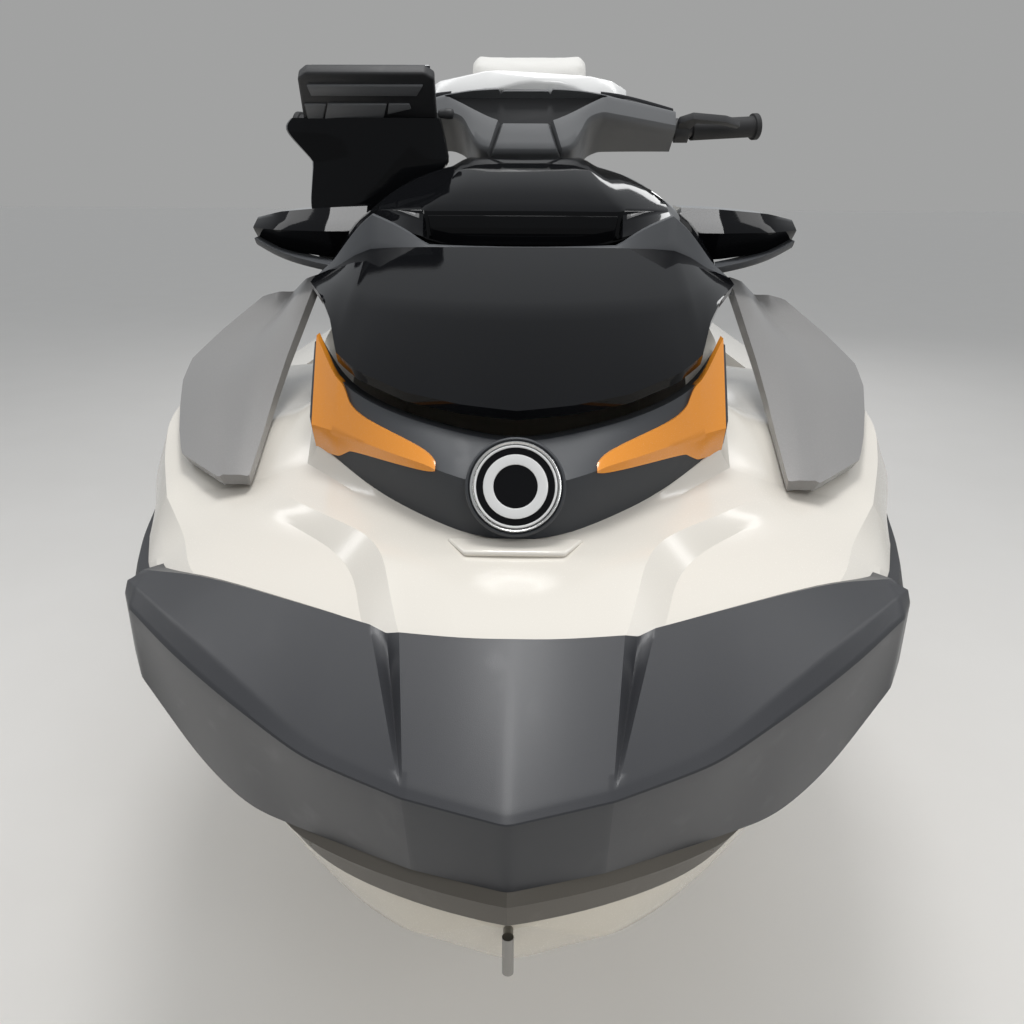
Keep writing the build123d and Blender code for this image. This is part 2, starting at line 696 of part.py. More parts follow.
with BuildPart() as seat_cushion:
    extrude(outline(level(PAN[1]), plan), amount=CUSHION_TOP - PAN[1])
    chamfer(seat_cushion.faces().sort_by(Axis.Z)[-1].edges(), 20)
    add(seat_base.part, mode=Mode.SUBTRACT)
    add(seat_backrest.part, mode=Mode.SUBTRACT)

seat_cushion.part.label = "seat_cushion"
export_step(seat_cushion.part, "parts/seat_cushion.step")

# Cooler: stations, half width, heights and walls
COOLER = (TRANSOM - 690, TRANSOM - 260, 318, PLINTH_TOP, 880)
COOLER_WALL = 32
COOLER_LID = (886, 936)
COOLER_HINGE = (COOLER[1] + 22, 886)

with BuildPart() as cooler_body:
    s0, s1, half, z0, z1 = COOLER
    block(s0, s1, -half, half, z0, z1)
    chamfer(cooler_body.edges().filter_by(Axis.Z), 24)
    inside = half - COOLER_WALL
    block(s0 + COOLER_WALL, s1 - COOLER_WALL, -inside, inside, z0 + COOLER_WALL, z1 + 1, mode=Mode.SUBTRACT)
    for y0, y1 in [(150, 190), (-190, -150)]:
        cross_bar(*COOLER_HINGE, y0, y1, 10)
        block(s1 - 1, COOLER_HINGE[0] + 8, y0, y1, 850, COOLER_HINGE[1] - 2)
        cross_bar(*COOLER_HINGE, y0 - 1, y1 + 1, LID_PIN_R + PIN_FIT, mode=Mode.SUBTRACT)
    add(rear_deck.part, mode=Mode.SUBTRACT)

cooler_body.part.label = "cooler_body"
export_step(cooler_body.part, "parts/cooler_body.step")

with BuildPart() as cooler_lid:
    block(s0, s1, -half, half, *COOLER_LID)
    chamfer(cooler_lid.edges().filter_by(Axis.Z), 24)
    chamfer(cooler_lid.faces().sort_by(Axis.Z)[-1].edges(), 10)
    block(s1 - 1, COOLER_HINGE[0] + 8, -140, 140, COOLER_HINGE[1], COOLER_HINGE[1] + 16)
    cross_bar(*COOLER_HINGE, -195, 195, LID_PIN_R)

cooler_lid.part.label = "cooler_lid"
export_step(cooler_lid.part, "parts/cooler_lid.step")

# Rod holders behind the cooler: offsets, bore, wall, foot and length, with their lean aft in degrees
ROD_OFFSETS = [-270, -225, 225, 270]
ROD_BORE_R = 20.5
ROD_WALL = 4
ROD_FOOT = (COOLER[1] + 32, 640)
ROD_LENGTH = 240
ROD_LEAN = 0

with BuildPart() as rod_holders:
    for y in ROD_OFFSETS:
        upright_bar(ROD_FOOT[0], y, ROD_FOOT[1], ROD_FOOT[1] + ROD_LENGTH, ROD_BORE_R + ROD_WALL)
    for sign in (1, -1):
        block(COOLER[1] - 1, ROD_FOOT[0] - 16, sign * 205, sign * 290, 660, 700)
    for y in ROD_OFFSETS:
        upright_bar(ROD_FOOT[0], y, ROD_FOOT[1] + ROD_WALL, 900, ROD_BORE_R, mode=Mode.SUBTRACT)
    add(cooler_body.part, mode=Mode.SUBTRACT)

rod_holders.part.label = "rod_holders"
export_step(rod_holders.part, "parts/rod_holders.step")

# Rear platform: plan outline of one half, and heights
PLATFORM = [(TRANSOM, 596), (LENGTH - 170, 580), (LENGTH - 40, 500), (LENGTH, 380)]
PLATFORM_LOW = 376
PLATFORM_TOP = 430
# Boarding ladder under the platform: pivot, offsets, length and tube
LADDER_PIVOT = (LENGTH - 45, 352)
LADDER_SIDES = (-470, -220)
LADDER_END = TRANSOM + 50
LADDER_R = 11
LADDER_STEP_R = 9
LADDER_PIN_R = 8
LADDER_STEPS = [LADDER_END + 6, LADDER_END + 130, LADDER_END + 250]
LADDER_EARS = [(-510, -490), (-200, -180)]

with BuildPart() as rear_platform:
    plan = PLATFORM + [(s, -y) for s, y in reversed(PLATFORM)]
    extrude(outline(level(PLATFORM_LOW), plan), amount=PLATFORM_TOP - PLATFORM_LOW)
    chamfer(rear_platform.faces().sort_by(Axis.Z)[0].edges(), 14)
    add(lower_hull.part, mode=Mode.SUBTRACT)
    add(rear_deck.part, mode=Mode.SUBTRACT)
    for y0, y1 in LADDER_EARS:
        s, z = LADDER_PIVOT
        block(s - 18, s + 18, y0, y1, z - 16, PLATFORM_LOW + 4)
        cross_bar(s, z, y0 - 1, y1 + 1, LADDER_PIN_R + PIN_FIT, mode=Mode.SUBTRACT)

rear_platform.part.label = "rear_platform"
export_step(rear_platform.part, "parts/rear_platform.step")

with BuildPart() as boarding_ladder:
    s, z = LADDER_PIVOT
    for y in LADDER_SIDES:
        long_bar(LADDER_END, s, y, z, LADDER_R)
    cross_bar(s, z, -510, -180, LADDER_PIN_R)
    for step in LADDER_STEPS:
        cross_bar(step, z, *LADDER_SIDES, LADDER_STEP_R)

boarding_ladder.part.label = "boarding_ladder"
export_step(boarding_ladder.part, "parts/boarding_ladder.step")

# Mats in the footwells and on the platform
MAT_THICK = 7
MAT_EDGE = 12
PLATFORM_MAT = [(TRANSOM + 20, 560), (LENGTH - 180, 545), (LENGTH - 60, 470), (LENGTH - 30, 370)]

with BuildPart() as deck_mats:
    s0, s1, y0, y1, floor = FOOTWELL
    y0, y1 = y0 + MAT_EDGE, y1 - MAT_EDGE
    for sign in (1, -1):
        mat = [(s0 + 100, sign * y0), (s1 - 30, sign * y0), (s1 - 30, sign * y1), (s0 + 80, sign * y1)]
        extrude(outline(level(floor), mat), amount=MAT_THICK)
    plan = PLATFORM_MAT + [(s, -y) for s, y in reversed(PLATFORM_MAT)]
    extrude(outline(level(PLATFORM_TOP), plan), amount=MAT_THICK)

deck_mats.part.label = "deck_mats"
export_step(deck_mats.part, "parts/deck_mats.step")

# Jet pump housing: side profile as (s, radius) outside and inside
COUPLING = (TRANSOM - 100, TRANSOM + 30, TRANSOM + 100)
PUMP_OUTER = [(TUNNEL_FRONT, 112), (TUNNEL_FRONT + 12, 112), (TUNNEL_FRONT + 12, 92), (COUPLING[0], 92),
              (COUPLING[1], 54), (COUPLING[2], 54)]
PUMP_INNER = [(TUNNEL_FRONT, 80), (COUPLING[0], 80), (COUPLING[1], 46), (COUPLING[2], 46)]
IMPELLER_R = 75
HUB_R = 36
IMPELLER = (TUNNEL_FRONT + 70, TUNNEL_FRONT + 150)
STATOR = (IMPELLER[1] + 10, IMPELLER[1] + 70)
STATOR_VANES = 5
NOZZLE_PIVOT_S = TRANSOM + 75
NOZZLE_PIN_R = 9
GATE_PIVOT_S = TRANSOM - 10
GATE_PIN_R = 10
GATE_PIN_END = 138


def turned(profile):
    """Solid of revolution about the pump's axis from (station, radius) points."""
    axis_start = at(0, 0, PUMP_Z)
    with BuildPart() as solid:
        with BuildSketch(Plane(origin=axis_start, x_dir=(-1, 0, 0), z_dir=(0, 1, 0))):
            with BuildLine():
                Polyline(*profile, close=True)
            make_face()
        revolve(axis=Axis(axis_start, (1, 0, 0)))
    return solid.part


with BuildPart() as pump_housing:
    add(turned(PUMP_OUTER + list(reversed(PUMP_INNER))))
    long_bar(*STATOR, 0, PUMP_Z, HUB_R)
    for i in range(STATOR_VANES):
        with Locations(Location(at(sum(STATOR) / 2, 0, PUMP_Z), (i * 360 / STATOR_VANES, 0, 0))):
            with Locations((0, 0, (HUB_R + 82) / 2)):
                Box(STATOR[1] - STATOR[0], 4, 82 - HUB_R + 4)
    long_bar(STATOR[0] - 1, STATOR[1] + 1, 0, PUMP_Z, SHAFT_R + PIN_FIT, mode=Mode.SUBTRACT)
    for z0, z1 in [(PUMP_Z + 50, PUMP_Z + 86), (PUMP_Z - 86, PUMP_Z - 50)]:
        upright_bar(NOZZLE_PIVOT_S, 0, z0, z1, NOZZLE_PIN_R)
    for sign in (1, -1):
        cross_bar(GATE_PIVOT_S, PUMP_Z, sign * 58, sign * GATE_PIN_END, GATE_PIN_R)

pump_housing.part.label = "pump_housing"
export_step(pump_housing.part, "parts/pump_housing.step")

with BuildPart() as drive_shaft:
    long_bar(ENGINE[1] + 2, STATOR[1] - 2, 0, PUMP_Z, SHAFT_R)

drive_shaft.part.label = "drive_shaft"
export_step(drive_shaft.part, "parts/drive_shaft.step")

BLADES = 4
BLADE_TWIST = 40
with BuildPart() as impeller:
    long_bar(*IMPELLER, 0, PUMP_Z, HUB_R)
    for i in range(BLADES):
        with Locations(Location(at(sum(IMPELLER) / 2, 0, PUMP_Z), (i * 360 / BLADES, 0, 0))):
            with Locations(Location((0, 0, (HUB_R + IMPELLER_R) / 2 - 3), (0, 0, BLADE_TWIST))):
                Box(70, 5, IMPELLER_R - HUB_R + 2)
    with Locations(at(sum(IMPELLER) / 2, 0, PUMP_Z)):
        Cylinder(IMPELLER_R, IMPELLER[1] - IMPELLER[0], rotation=(0, 90, 0), mode=Mode.INTERSECT)
    long_bar(IMPELLER[0] - 1, IMPELLER[1] + 1, 0, PUMP_Z, SHAFT_R, mode=Mode.SUBTRACT)

impeller.part.label = "impeller"
export_step(impeller.part, "parts/impeller.step")

# Steering nozzle: (station, radius) outside and inside
NOZZLE = (NOZZLE_PIVOT_S - 20, NOZZLE_PIVOT_S + 33, NOZZLE_PIVOT_S + 185)
NOZZLE_OUTER = [(NOZZLE[0], 82), (NOZZLE[1], 82), (NOZZLE[2], 52)]
NOZZLE_INNER = [(NOZZLE[0], 74), (NOZZLE[1] + 2, 74), (NOZZLE[2], 44)]

with BuildPart() as steering_nozzle:
    add(turned(NOZZLE_OUTER + list(reversed(NOZZLE_INNER))))
    upright_bar(NOZZLE_PIVOT_S, 0, PUMP_Z - 90, PUMP_Z + 90, NOZZLE_PIN_R + PIN_FIT, mode=Mode.SUBTRACT)

steering_nozzle.part.label = "steering_nozzle"
export_step(steering_nozzle.part, "parts/steering_nozzle.step")

# Reverse gate: radii from its pivot, half width, arm thickness, and the angles it spans above the jet
GATE_IN = 290
GATE_OUT = 300
GATE_HALF = 134
GATE_ARM = 10
GATE_FROM = 12
GATE_TO = 38

with BuildPart() as reverse_gate:
    angles = [math.radians(GATE_FROM + (GATE_TO - GATE_FROM) * i / 6) for i in range(7)]
    outer = [(GATE_PIVOT_S + GATE_OUT * math.cos(a), PUMP_Z + GATE_OUT * math.sin(a)) for a in angles]
    inner = [(GATE_PIVOT_S + GATE_IN * math.cos(a), PUMP_Z + GATE_IN * math.sin(a)) for a in reversed(angles)]
    extrude(outline(side(0), outer + inner), amount=GATE_HALF, both=True)
    arm = [(GATE_PIVOT_S - 20, PUMP_Z - 10), (GATE_PIVOT_S + 6, PUMP_Z - 22)] + outer
    arm = arm + [(GATE_PIVOT_S - 14, PUMP_Z + 18)]
    for sign in (1, -1):
        extrude(outline(side(sign * GATE_HALF), arm), amount=-sign * GATE_ARM)
        cross_bar(GATE_PIVOT_S, PUMP_Z, sign * (GATE_HALF - GATE_ARM - 1), sign * (GATE_HALF + 1),
                  GATE_PIN_R + PIN_FIT, mode=Mode.SUBTRACT)

reverse_gate.part.label = "reverse_gate"
export_step(reverse_gate.part, "parts/reverse_gate.step")

# Ride plate under the pump and the grate over the intake
with BuildPart() as ride_plate:
    block(TUNNEL_FRONT, COUPLING[2], -TUNNEL_HALF, TUNNEL_HALF, 30, 42)

ride_plate.part.label = "ride_plate"
export_step(ride_plate.part, "parts/ride_plate.step")

GRATE_BARS = [-45, -15, 15, 45]
with BuildPart() as intake_grate:
    for y in GRATE_BARS:
        block(*INTAKE, y - 4, y + 4, 34, 50)
    for s in (INTAKE[0] + 6, INTAKE[1] - 6):
        block(s - 6, s + 6, -DUCT_HALF, DUCT_HALF, 34, 50)
    add(lower_hull.part, mode=Mode.SUBTRACT)

intake_grate.part.label = "intake_grate"
export_step(intake_grate.part, "parts/intake_grate.step")

# Sponsons on the hull's sides: station, (offset, height) corners
SPONSON = [(470, 262), (640, 268), (640, 300), (470, 330)]
SPONSON_REAR = TRANSOM - 120
SPONSON_LENGTH = 620

with BuildPart() as sponsons:
    extrude(outline(station(SPONSON_REAR), SPONSON), amount=SPONSON_LENGTH)
    mirror(about=Plane.XZ)
    add(lower_hull.part, mode=Mode.SUBTRACT)

sponsons.part.label = "sponsons"
export_step(sponsons.part, "parts/sponsons.step")

# Towing eyes: reach from the hull, half height, and radii of the bar and its legs
EYE_REACH = 20
EYE_HALF = 14
EYE_WIRE = 5
EYE_LEG = 4.4
STERN_EYE_Y = 430
STERN_EYE_Z = 300

with BuildPart() as towing_eyes:
    for z in (374 + EYE_HALF, 374 - EYE_HALF):
        long_bar(76 - EYE_REACH / 2, 130, 0, z, EYE_LEG)
    upright_bar(76 - EYE_REACH / 2, 0, 374 - EYE_HALF - EYE_WIRE, 374 + EYE_HALF + EYE_WIRE, EYE_WIRE)
    add(lower_hull.part, mode=Mode.SUBTRACT)
    for y in (STERN_EYE_Y, -STERN_EYE_Y):
        for offset in (EYE_HALF, -EYE_HALF):
            long_bar(TRANSOM, TRANSOM + EYE_REACH, y + offset, STERN_EYE_Z, EYE_LEG)
        reach = EYE_HALF + EYE_WIRE
        cross_bar(TRANSOM + EYE_REACH, STERN_EYE_Z, y - reach, y + reach, EYE_WIRE)

towing_eyes.part.label = "towing_eyes"
export_step(towing_eyes.part, "parts/towing_eyes.step")
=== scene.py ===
import bmesh
import bpy
import math
from mathutils import Matrix, Vector


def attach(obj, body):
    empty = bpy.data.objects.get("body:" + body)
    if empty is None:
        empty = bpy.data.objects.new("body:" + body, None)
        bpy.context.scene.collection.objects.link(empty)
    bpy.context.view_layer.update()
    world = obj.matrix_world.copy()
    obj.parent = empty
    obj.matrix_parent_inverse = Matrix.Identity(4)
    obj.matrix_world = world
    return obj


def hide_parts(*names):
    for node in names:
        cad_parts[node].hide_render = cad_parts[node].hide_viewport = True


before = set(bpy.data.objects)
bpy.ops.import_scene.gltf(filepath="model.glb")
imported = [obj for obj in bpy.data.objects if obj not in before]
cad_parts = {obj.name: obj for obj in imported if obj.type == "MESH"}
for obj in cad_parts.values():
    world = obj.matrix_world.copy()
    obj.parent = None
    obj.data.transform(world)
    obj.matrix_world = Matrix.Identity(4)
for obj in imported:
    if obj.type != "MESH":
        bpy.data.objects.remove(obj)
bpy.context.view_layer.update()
scene = bpy.context.scene

# The craft is laid out in millimetres: s aft of the nose, y to port, z above the keel
MM = 0.001
# The nose ahead of the frame's origin and the keel below it, in metres
BOW = 1.865
DRAFT = 0.280
# Height of the bond line between hull and deck, and station of the transom
BOND = 400
TRANSOM = 3300
SIDES = ((1, "port"), (-1, "starboard"))
X, Y, Z = Vector((1, 0, 0)), Vector((0, 1, 0)), Vector((0, 0, 1))


def at(s, y, z):
    """Point in metres in the shared frame."""
    return Vector((BOW - s * MM, y * MM, z * MM - DRAFT))


def cross_row(s, pairs):
    """Row of points at one station from (offset, height) pairs."""
    return [at(s, y, z) for y, z in pairs]


def long_row(y, pairs):
    """Row of points at one offset from (station, height) pairs."""
    return [at(s, y, z) for s, z in pairs]


def measured(point):
    """Station, distance from the centre line and height of a point of the frame."""
    return (BOW - point.x) / MM, abs(point.y) / MM, (point.z + DRAFT) / MM


# Steering frame: foot of the axis, which leans aft
LEAN = math.radians(25)
STEER_FOOT = at(1230, 0, 945)
AHEAD = Vector((math.cos(LEAN), 0, math.sin(LEAN)))
ALONG = Vector((-math.sin(LEAN), 0, math.cos(LEAN)))


def steer(a, b, h):
    """Point a ahead, b to port and h along the steering axis."""
    return STEER_FOOT + (AHEAD * a + Vector((0, b, 0)) + ALONG * h) * MM


def put(thing, **values):
    """Thing with the given values put in."""
    for key, value in values.items():
        setattr(thing, key, value)
    return thing


# Shader maths

class Value:
    """A shader socket that takes part in arithmetic."""

    def __init__(self, paint, socket):
        self.paint = paint
        self.socket = socket

    def maths(self, operation, first, second):
        return self.paint.node("ShaderNodeMath", {"operation": operation}, {0: first, 1: second})

    def __add__(self, other):
        return self.maths("ADD", self, other)

    __radd__ = __add__

    def __sub__(self, other):
        return self.maths("SUBTRACT", self, other)

    def __mul__(self, other):
        return self.maths("MULTIPLY", self, other)


class Paint:
    """A material and the nodes that make it."""

    def __init__(self, name):
        self.material = bpy.data.materials.new(name)
        self.material.use_nodes = True
        self.tree = self.material.node_tree
        self.tree.nodes.clear()
        self.place = self.node("ShaderNodeTexCoord", output="Object")

    def node(self, kind, settings=None, sockets=None, output=0):
        """One output of a new node with its settings and sockets."""
        made = put(self.tree.nodes.new(kind), **(settings or {}))
        for key, value in (sockets or {}).items():
            if isinstance(value, Value):
                self.tree.links.new(value.socket, made.inputs[key])
            else:
                made.inputs[key].default_value = value
        return Value(self, made.outputs[output])

    def noise(self, scale, detail, stretch=None):
        """Noise from 0 to 1, scale in cells a metre, stretched along the object's axes."""
        where = self.place
        if stretch:
            where = self.node("ShaderNodeMapping", {}, {"Vector": where, "Scale": stretch})
        return self.node("ShaderNodeTexNoise", {}, {"Vector": where, "Scale": scale, "Detail": detail})

    def cells(self, scale, feature="F1", output="Distance"):
        """Cell pattern, scale in cells a metre."""
        sockets = {"Vector": self.place, "Scale": scale}
        return self.node("ShaderNodeTexVoronoi", {"feature": feature}, sockets, output)

    def ramp(self, value, low, high):
        """Value spread from 0 at low to 1 at high."""
        sockets = {"Value": value, "From Min": low, "From Max": high}
        return self.node("ShaderNodeMapRange", {"clamp": True}, sockets)

    def blend(self, factor, one, two):
        """Colour that goes from one to two."""
        return self.node("ShaderNodeMix", {"data_type": "RGBA"}, {0: factor, 6: one, 7: two}, 2)

    def bump(self, height, distance, strength, under=None):
        """Normal that shows a height, on top of another normal where one is given."""
        sockets = {"Height": height, "Distance": distance, "Strength": strength}
        if under is not None:
            sockets["Normal"] = under
        return self.node("ShaderNodeBump", {}, sockets, "Normal")

    def surface(self, colour, roughness, bump=None, **fixed):
        """The finished material, with fixed values for sockets that are named with underscores."""
        sockets = {"Base Color": colour, "Roughness": roughness}
        if bump is not None:
            sockets["Normal"] = bump
        sockets.update({key.replace("_", " "): value for key, value in fixed.items()})
        shader = self.node("ShaderNodeBsdfPrincipled", {}, sockets, "BSDF")
        out = self.tree.nodes.new("ShaderNodeOutputMaterial")
        self.tree.links.new(shader.socket, out.inputs["Surface"])
        return self.material


def rgb(red, green, blue, share=1.0):
    """Colour for a socket, darkened or lightened by share."""
    return (red * share, green * share, blue * share, 1.0)


# Finishes

def gelcoat(name, colour):
    """Glossy gelcoat: slow drift of tone, faint orange peel, a clear top coat."""
    paint = Paint(name)
    drift = paint.noise(2.2, 2.0)
    peel = paint.noise(210, 1.0)
    dust = paint.ramp(paint.noise(900, 2.0), 0.62, 0.78)
    tone = paint.blend(drift, rgb(*colour, 0.955), rgb(*colour, 1.03))
    tone = paint.blend(dust * 0.12, tone, rgb(0.55, 0.52, 0.47))
    rough = 0.2 + drift * 0.05 + dust * 0.16
    return paint.surface(tone, rough, paint.bump(peel, 0.0002, 0.16), Coat_Weight=0.4, Coat_Roughness=0.12)


def gloss_black(name):
    """Piano-black plastic with hairline scuffs and a little dust."""
    paint = Paint(name)
    scuff = paint.ramp(paint.noise(60, 4.0, (1, 9, 3)), 0.60, 0.76)
    dust = paint.ramp(paint.noise(1400, 2.0), 0.68, 0.78)
    tone = paint.blend(dust * 0.25, rgb(0.004, 0.0042, 0.005), rgb(0.07, 0.07, 0.07))
    rough = 0.05 + scuff * 0.05 + dust * 0.2
    peel = paint.noise(160, 1.0)
    return paint.surface(tone, rough, paint.bump(peel, 0.0002, 0.06), Specular_IOR_Level=0.14)


def moulded(name, colour, rough, grain=1.0, **fixed):
    """Textured plastic: fine spark-eroded grain, tone that drifts a little, rubbed patches."""
    paint = Paint(name)
    pits = paint.noise(1500, 2.0)
    patch = paint.noise(5.0, 3.0)
    rub = paint.ramp(paint.noise(26, 4.0), 0.58, 0.78)
    tone = paint.blend(patch, rgb(*colour, 0.88), rgb(*colour, 1.12))
    tone = paint.blend(pits * 0.35, tone, rgb(*colour, 1.45))
    roughness = rough + patch * 0.07 - rub * 0.08
    return paint.surface(tone, roughness, paint.bump(pits, 0.00022 * grain, 0.5), **fixed)


def metallic_paint(name, colour):
    """Glossy paint with fine flakes."""
    paint = Paint(name)
    flake = paint.cells(1600, output="Color")
    drift = paint.noise(3.0, 2.0)
    tone = paint.blend(drift, rgb(*colour, 0.93), rgb(*colour, 1.06))
    tone = paint.blend(paint.ramp(flake, 0.55, 1.0) * 0.22, tone, rgb(*colour, 1.7))
    peel = paint.noise(220, 1.0)
    return paint.surface(tone, 0.34 + drift * 0.06, paint.bump(peel, 0.0002, 0.12), Coat_Weight=0.25,
                         Coat_Roughness=0.2, Metallic=0.1)


def brushed(name, colour, rough):
    """Metal with fine brush lines along one axis and handling marks."""
    paint = Paint(name)
    lines = paint.noise(240, 3.0, (1, 30, 30))
    marks = paint.ramp(paint.noise(22, 4.0), 0.55, 0.75)
    tone = paint.blend(lines, rgb(*colour, 0.86), rgb(*colour, 1.1))
    roughness = rough + lines * 0.1 + marks * 0.1
    return paint.surface(tone, roughness, paint.bump(lines, 0.00015, 0.4), Metallic=1.0)


def cast(name, colour):
    """Sand-cast metal under a thin dark coat."""
    paint = Paint(name)
    sand = paint.noise(420, 4.0)
    stain = paint.noise(7, 3.0)
    tone = paint.blend(stain, rgb(*colour, 0.8), rgb(*colour, 1.15))
    return paint.surface(tone, 0.42 + sand * 0.18, paint.bump(sand, 0.0006, 0.5), Metallic=0.7)


def rubbery(name, colour, rough=0.62):
    """Soft black rubber: fine speckle and pale bloom."""
    paint = Paint(name)
    speckle = paint.noise(800, 3.0)
    bloom = paint.noise(14, 4.0)
    tone = paint.blend(bloom, rgb(*colour, 0.85), rgb(*colour, 1.35))
    return paint.surface(tone, rough + bloom * 0.12, paint.bump(speckle, 0.0003, 0.4))


def vinyl(name, colour):
    """Marine upholstery vinyl: pebbled grain, creases, slight grey in the hollows."""
    paint = Paint(name)
    pebble = paint.cells(420, "SMOOTH_F1")
    crease = paint.noise(34, 5.0)
    soil = paint.ramp(paint.noise(6, 3.0), 0.45, 0.8)
    tone = paint.blend(soil * 0.35, rgb(*colour), rgb(*colour, 0.86))
    tone = paint.blend(pebble * 0.4, tone, rgb(*colour, 0.9))
    fold = paint.bump(crease, 0.0012, 0.25)
    return paint.surface(tone, 0.42 + crease * 0.1, paint.bump(pebble, 0.0004, 0.5, fold))


def foam(name, colour):
    """Closed-cell deck foam: open-pored brushed face."""
    paint = Paint(name)
    pores = paint.cells(900)
    speckle = paint.noise(300, 4.0)
    tone = paint.blend(speckle, rgb(*colour, 0.8), rgb(*colour, 1.25))
    return paint.surface(tone, 0.85 + speckle * -0.08, paint.bump(pores, 0.0006, 0.6))


def dark_glass(name, colour):
    """Dark display glass with finger smears."""
    paint = Paint(name)
    smear = paint.ramp(paint.noise(18, 4.0, (1, 3, 1)), 0.5, 0.8)
    tone = paint.blend(smear * 0.3, rgb(*colour), rgb(*colour, 2.2))
    return paint.surface(tone, 0.04 + smear * 0.14, Coat_Weight=0.4, Coat_Roughness=0.03)


def silvered(name):
    """Mirror glass with faint smears."""
    paint = Paint(name)
    smear = paint.ramp(paint.noise(25, 4.0), 0.5, 0.8)
    tone = paint.blend(smear, rgb(0.86, 0.87, 0.88), rgb(0.78, 0.79, 0.8))
    return paint.surface(tone, 0.02 + smear * 0.06, Metallic=1.0)


HULL_CREAM = gelcoat("hull_cream", (0.71, 0.65, 0.54))
DECK_WHITE = gelcoat("deck_white", (0.75, 0.71, 0.64))
CAP_WHITE = gelcoat("cap_white", (0.78, 0.78, 0.77))
WING_GREY = metallic_paint("wing_grey", (0.235, 0.228, 0.222))
ORANGE = gelcoat("accent_orange", (0.83, 0.30, 0.028))
BUMPER_BLUE = moulded("bumper_blue_grey", (0.036, 0.037, 0.041), 0.32, 0.6, Specular_IOR_Level=0.35)
LIP_DARK = moulded("lip_dark", (0.105, 0.094, 0.078), 0.42, Specular_IOR_Level=0.35)
RAIL_BLACK = rubbery("rail_black", (0.022, 0.023, 0.026), 0.5)
CHARCOAL = moulded("surround_charcoal", (0.034, 0.037, 0.042), 0.5)
TRIM_GREY = moulded("trim_grey", (0.052, 0.055, 0.060), 0.5)
SHROUD_GREY = moulded("shroud_grey", (0.105, 0.108, 0.112), 0.42)
MATT_BLACK = moulded("black_plastic", (0.016, 0.0165, 0.018), 0.5)
HOOD_BLACK = gloss_black("hood_black")
GRIP_BLACK = rubbery("grip_black", (0.012, 0.012, 0.013))
BAR_BLACK = moulded("bar_black", (0.018, 0.018, 0.02), 0.35)
BRIGHT_STEEL = brushed("bright_steel", (0.68, 0.68, 0.67), 0.2)
EYE_STEEL = brushed("eye_steel", (0.34, 0.33, 0.31), 0.34)
ALLOY = brushed("alloy_tube", (0.62, 0.62, 0.63), 0.3)
PUMP_CAST = cast("pump_cast", (0.20, 0.20, 0.21))
ENGINE_CAST = cast("engine_cast", (0.12, 0.12, 0.125))
SEAT_VINYL = vinyl("seat_vinyl", (0.72, 0.71, 0.68))
MAT_FOAM = foam("mat_foam", (0.085, 0.087, 0.092))
COOLER_GREY = moulded("cooler_grey", (0.46, 0.45, 0.42), 0.5, 1.6)
SCREEN_GLASS = dark_glass("screen_glass", (0.010, 0.014, 0.022))
MIRROR_SILVER = silvered("mirror_silver")


# Shapes

# Points closer than this, in metres, are one
MERGE = 0.00002
# Faces within this angle are one flat face, and edges beyond the other are rounded
FLAT_ANGLE = math.radians(1)
ROUNDED_ANGLE = math.radians(28)
# Crease at the edges of a shell that gets a thickness
WALL_CREASE = 0.9


def seal(bm):
    """Joins doubled points and turns every face outwards."""
    bmesh.ops.remove_doubles(bm, verts=bm.verts, dist=MERGE)
    bmesh.ops.dissolve_degenerate(bm, edges=bm.edges, dist=MERGE)
    bmesh.ops.recalc_face_normals(bm, faces=bm.faces)


def add_object(name, data):
    """Object with the given data, in the scene."""
    made = bpy.data.objects.new(name, data)
    scene.collection.objects.link(made)
    return made


def add_mesh(name, bm):
    """Object with a bmesh as its mesh."""
    mesh = bpy.data.meshes.new(name)
    bm.to_mesh(mesh)
    bm.free()
    return add_object(name, mesh)


def evaluated(thing):
    """Mesh of an object as its modifiers make it."""
    return bpy.data.meshes.new_from_object(thing.evaluated_get(bpy.context.evaluated_depsgraph_get()))


def build(name, bm, material, body, stands_for=(), levels=0, bevel=0.0, wall=0.0, sharp=32):
    """Turns a bmesh into a finished piece: thickness, rounded edges, subdivision, then its body, hiding the
    solids it stands for.
    """
    piece = add_mesh(name, bm)
    if wall:
        put(piece.modifiers.new("wall", "SOLIDIFY"), thickness=wall, offset=-1, use_even_offset=True,
            use_quality_normals=True, edge_crease_inner=WALL_CREASE, edge_crease_outer=WALL_CREASE,
            edge_crease_rim=WALL_CREASE)
    if bevel:
        put(piece.modifiers.new("rounding", "BEVEL"), width=bevel, segments=3, limit_method="ANGLE",
            angle_limit=ROUNDED_ANGLE, use_clamp_overlap=True)
    if levels:
        put(piece.modifiers.new("smooth", "SUBSURF"), levels=levels, render_levels=levels)
    if wall or bevel or levels:
        bpy.context.view_layer.update()
        made = evaluated(piece)
        piece.modifiers.clear()
        piece.data = made
        made.name = name
    for face in piece.data.polygons:
        face.use_smooth = True
    piece.data.set_sharp_from_angle(angle=math.radians(sharp))
    piece.data.materials.clear()
    piece.data.materials.append(material)
    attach(piece, body)
    if stands_for:
        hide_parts(*stands_for)
    return piece


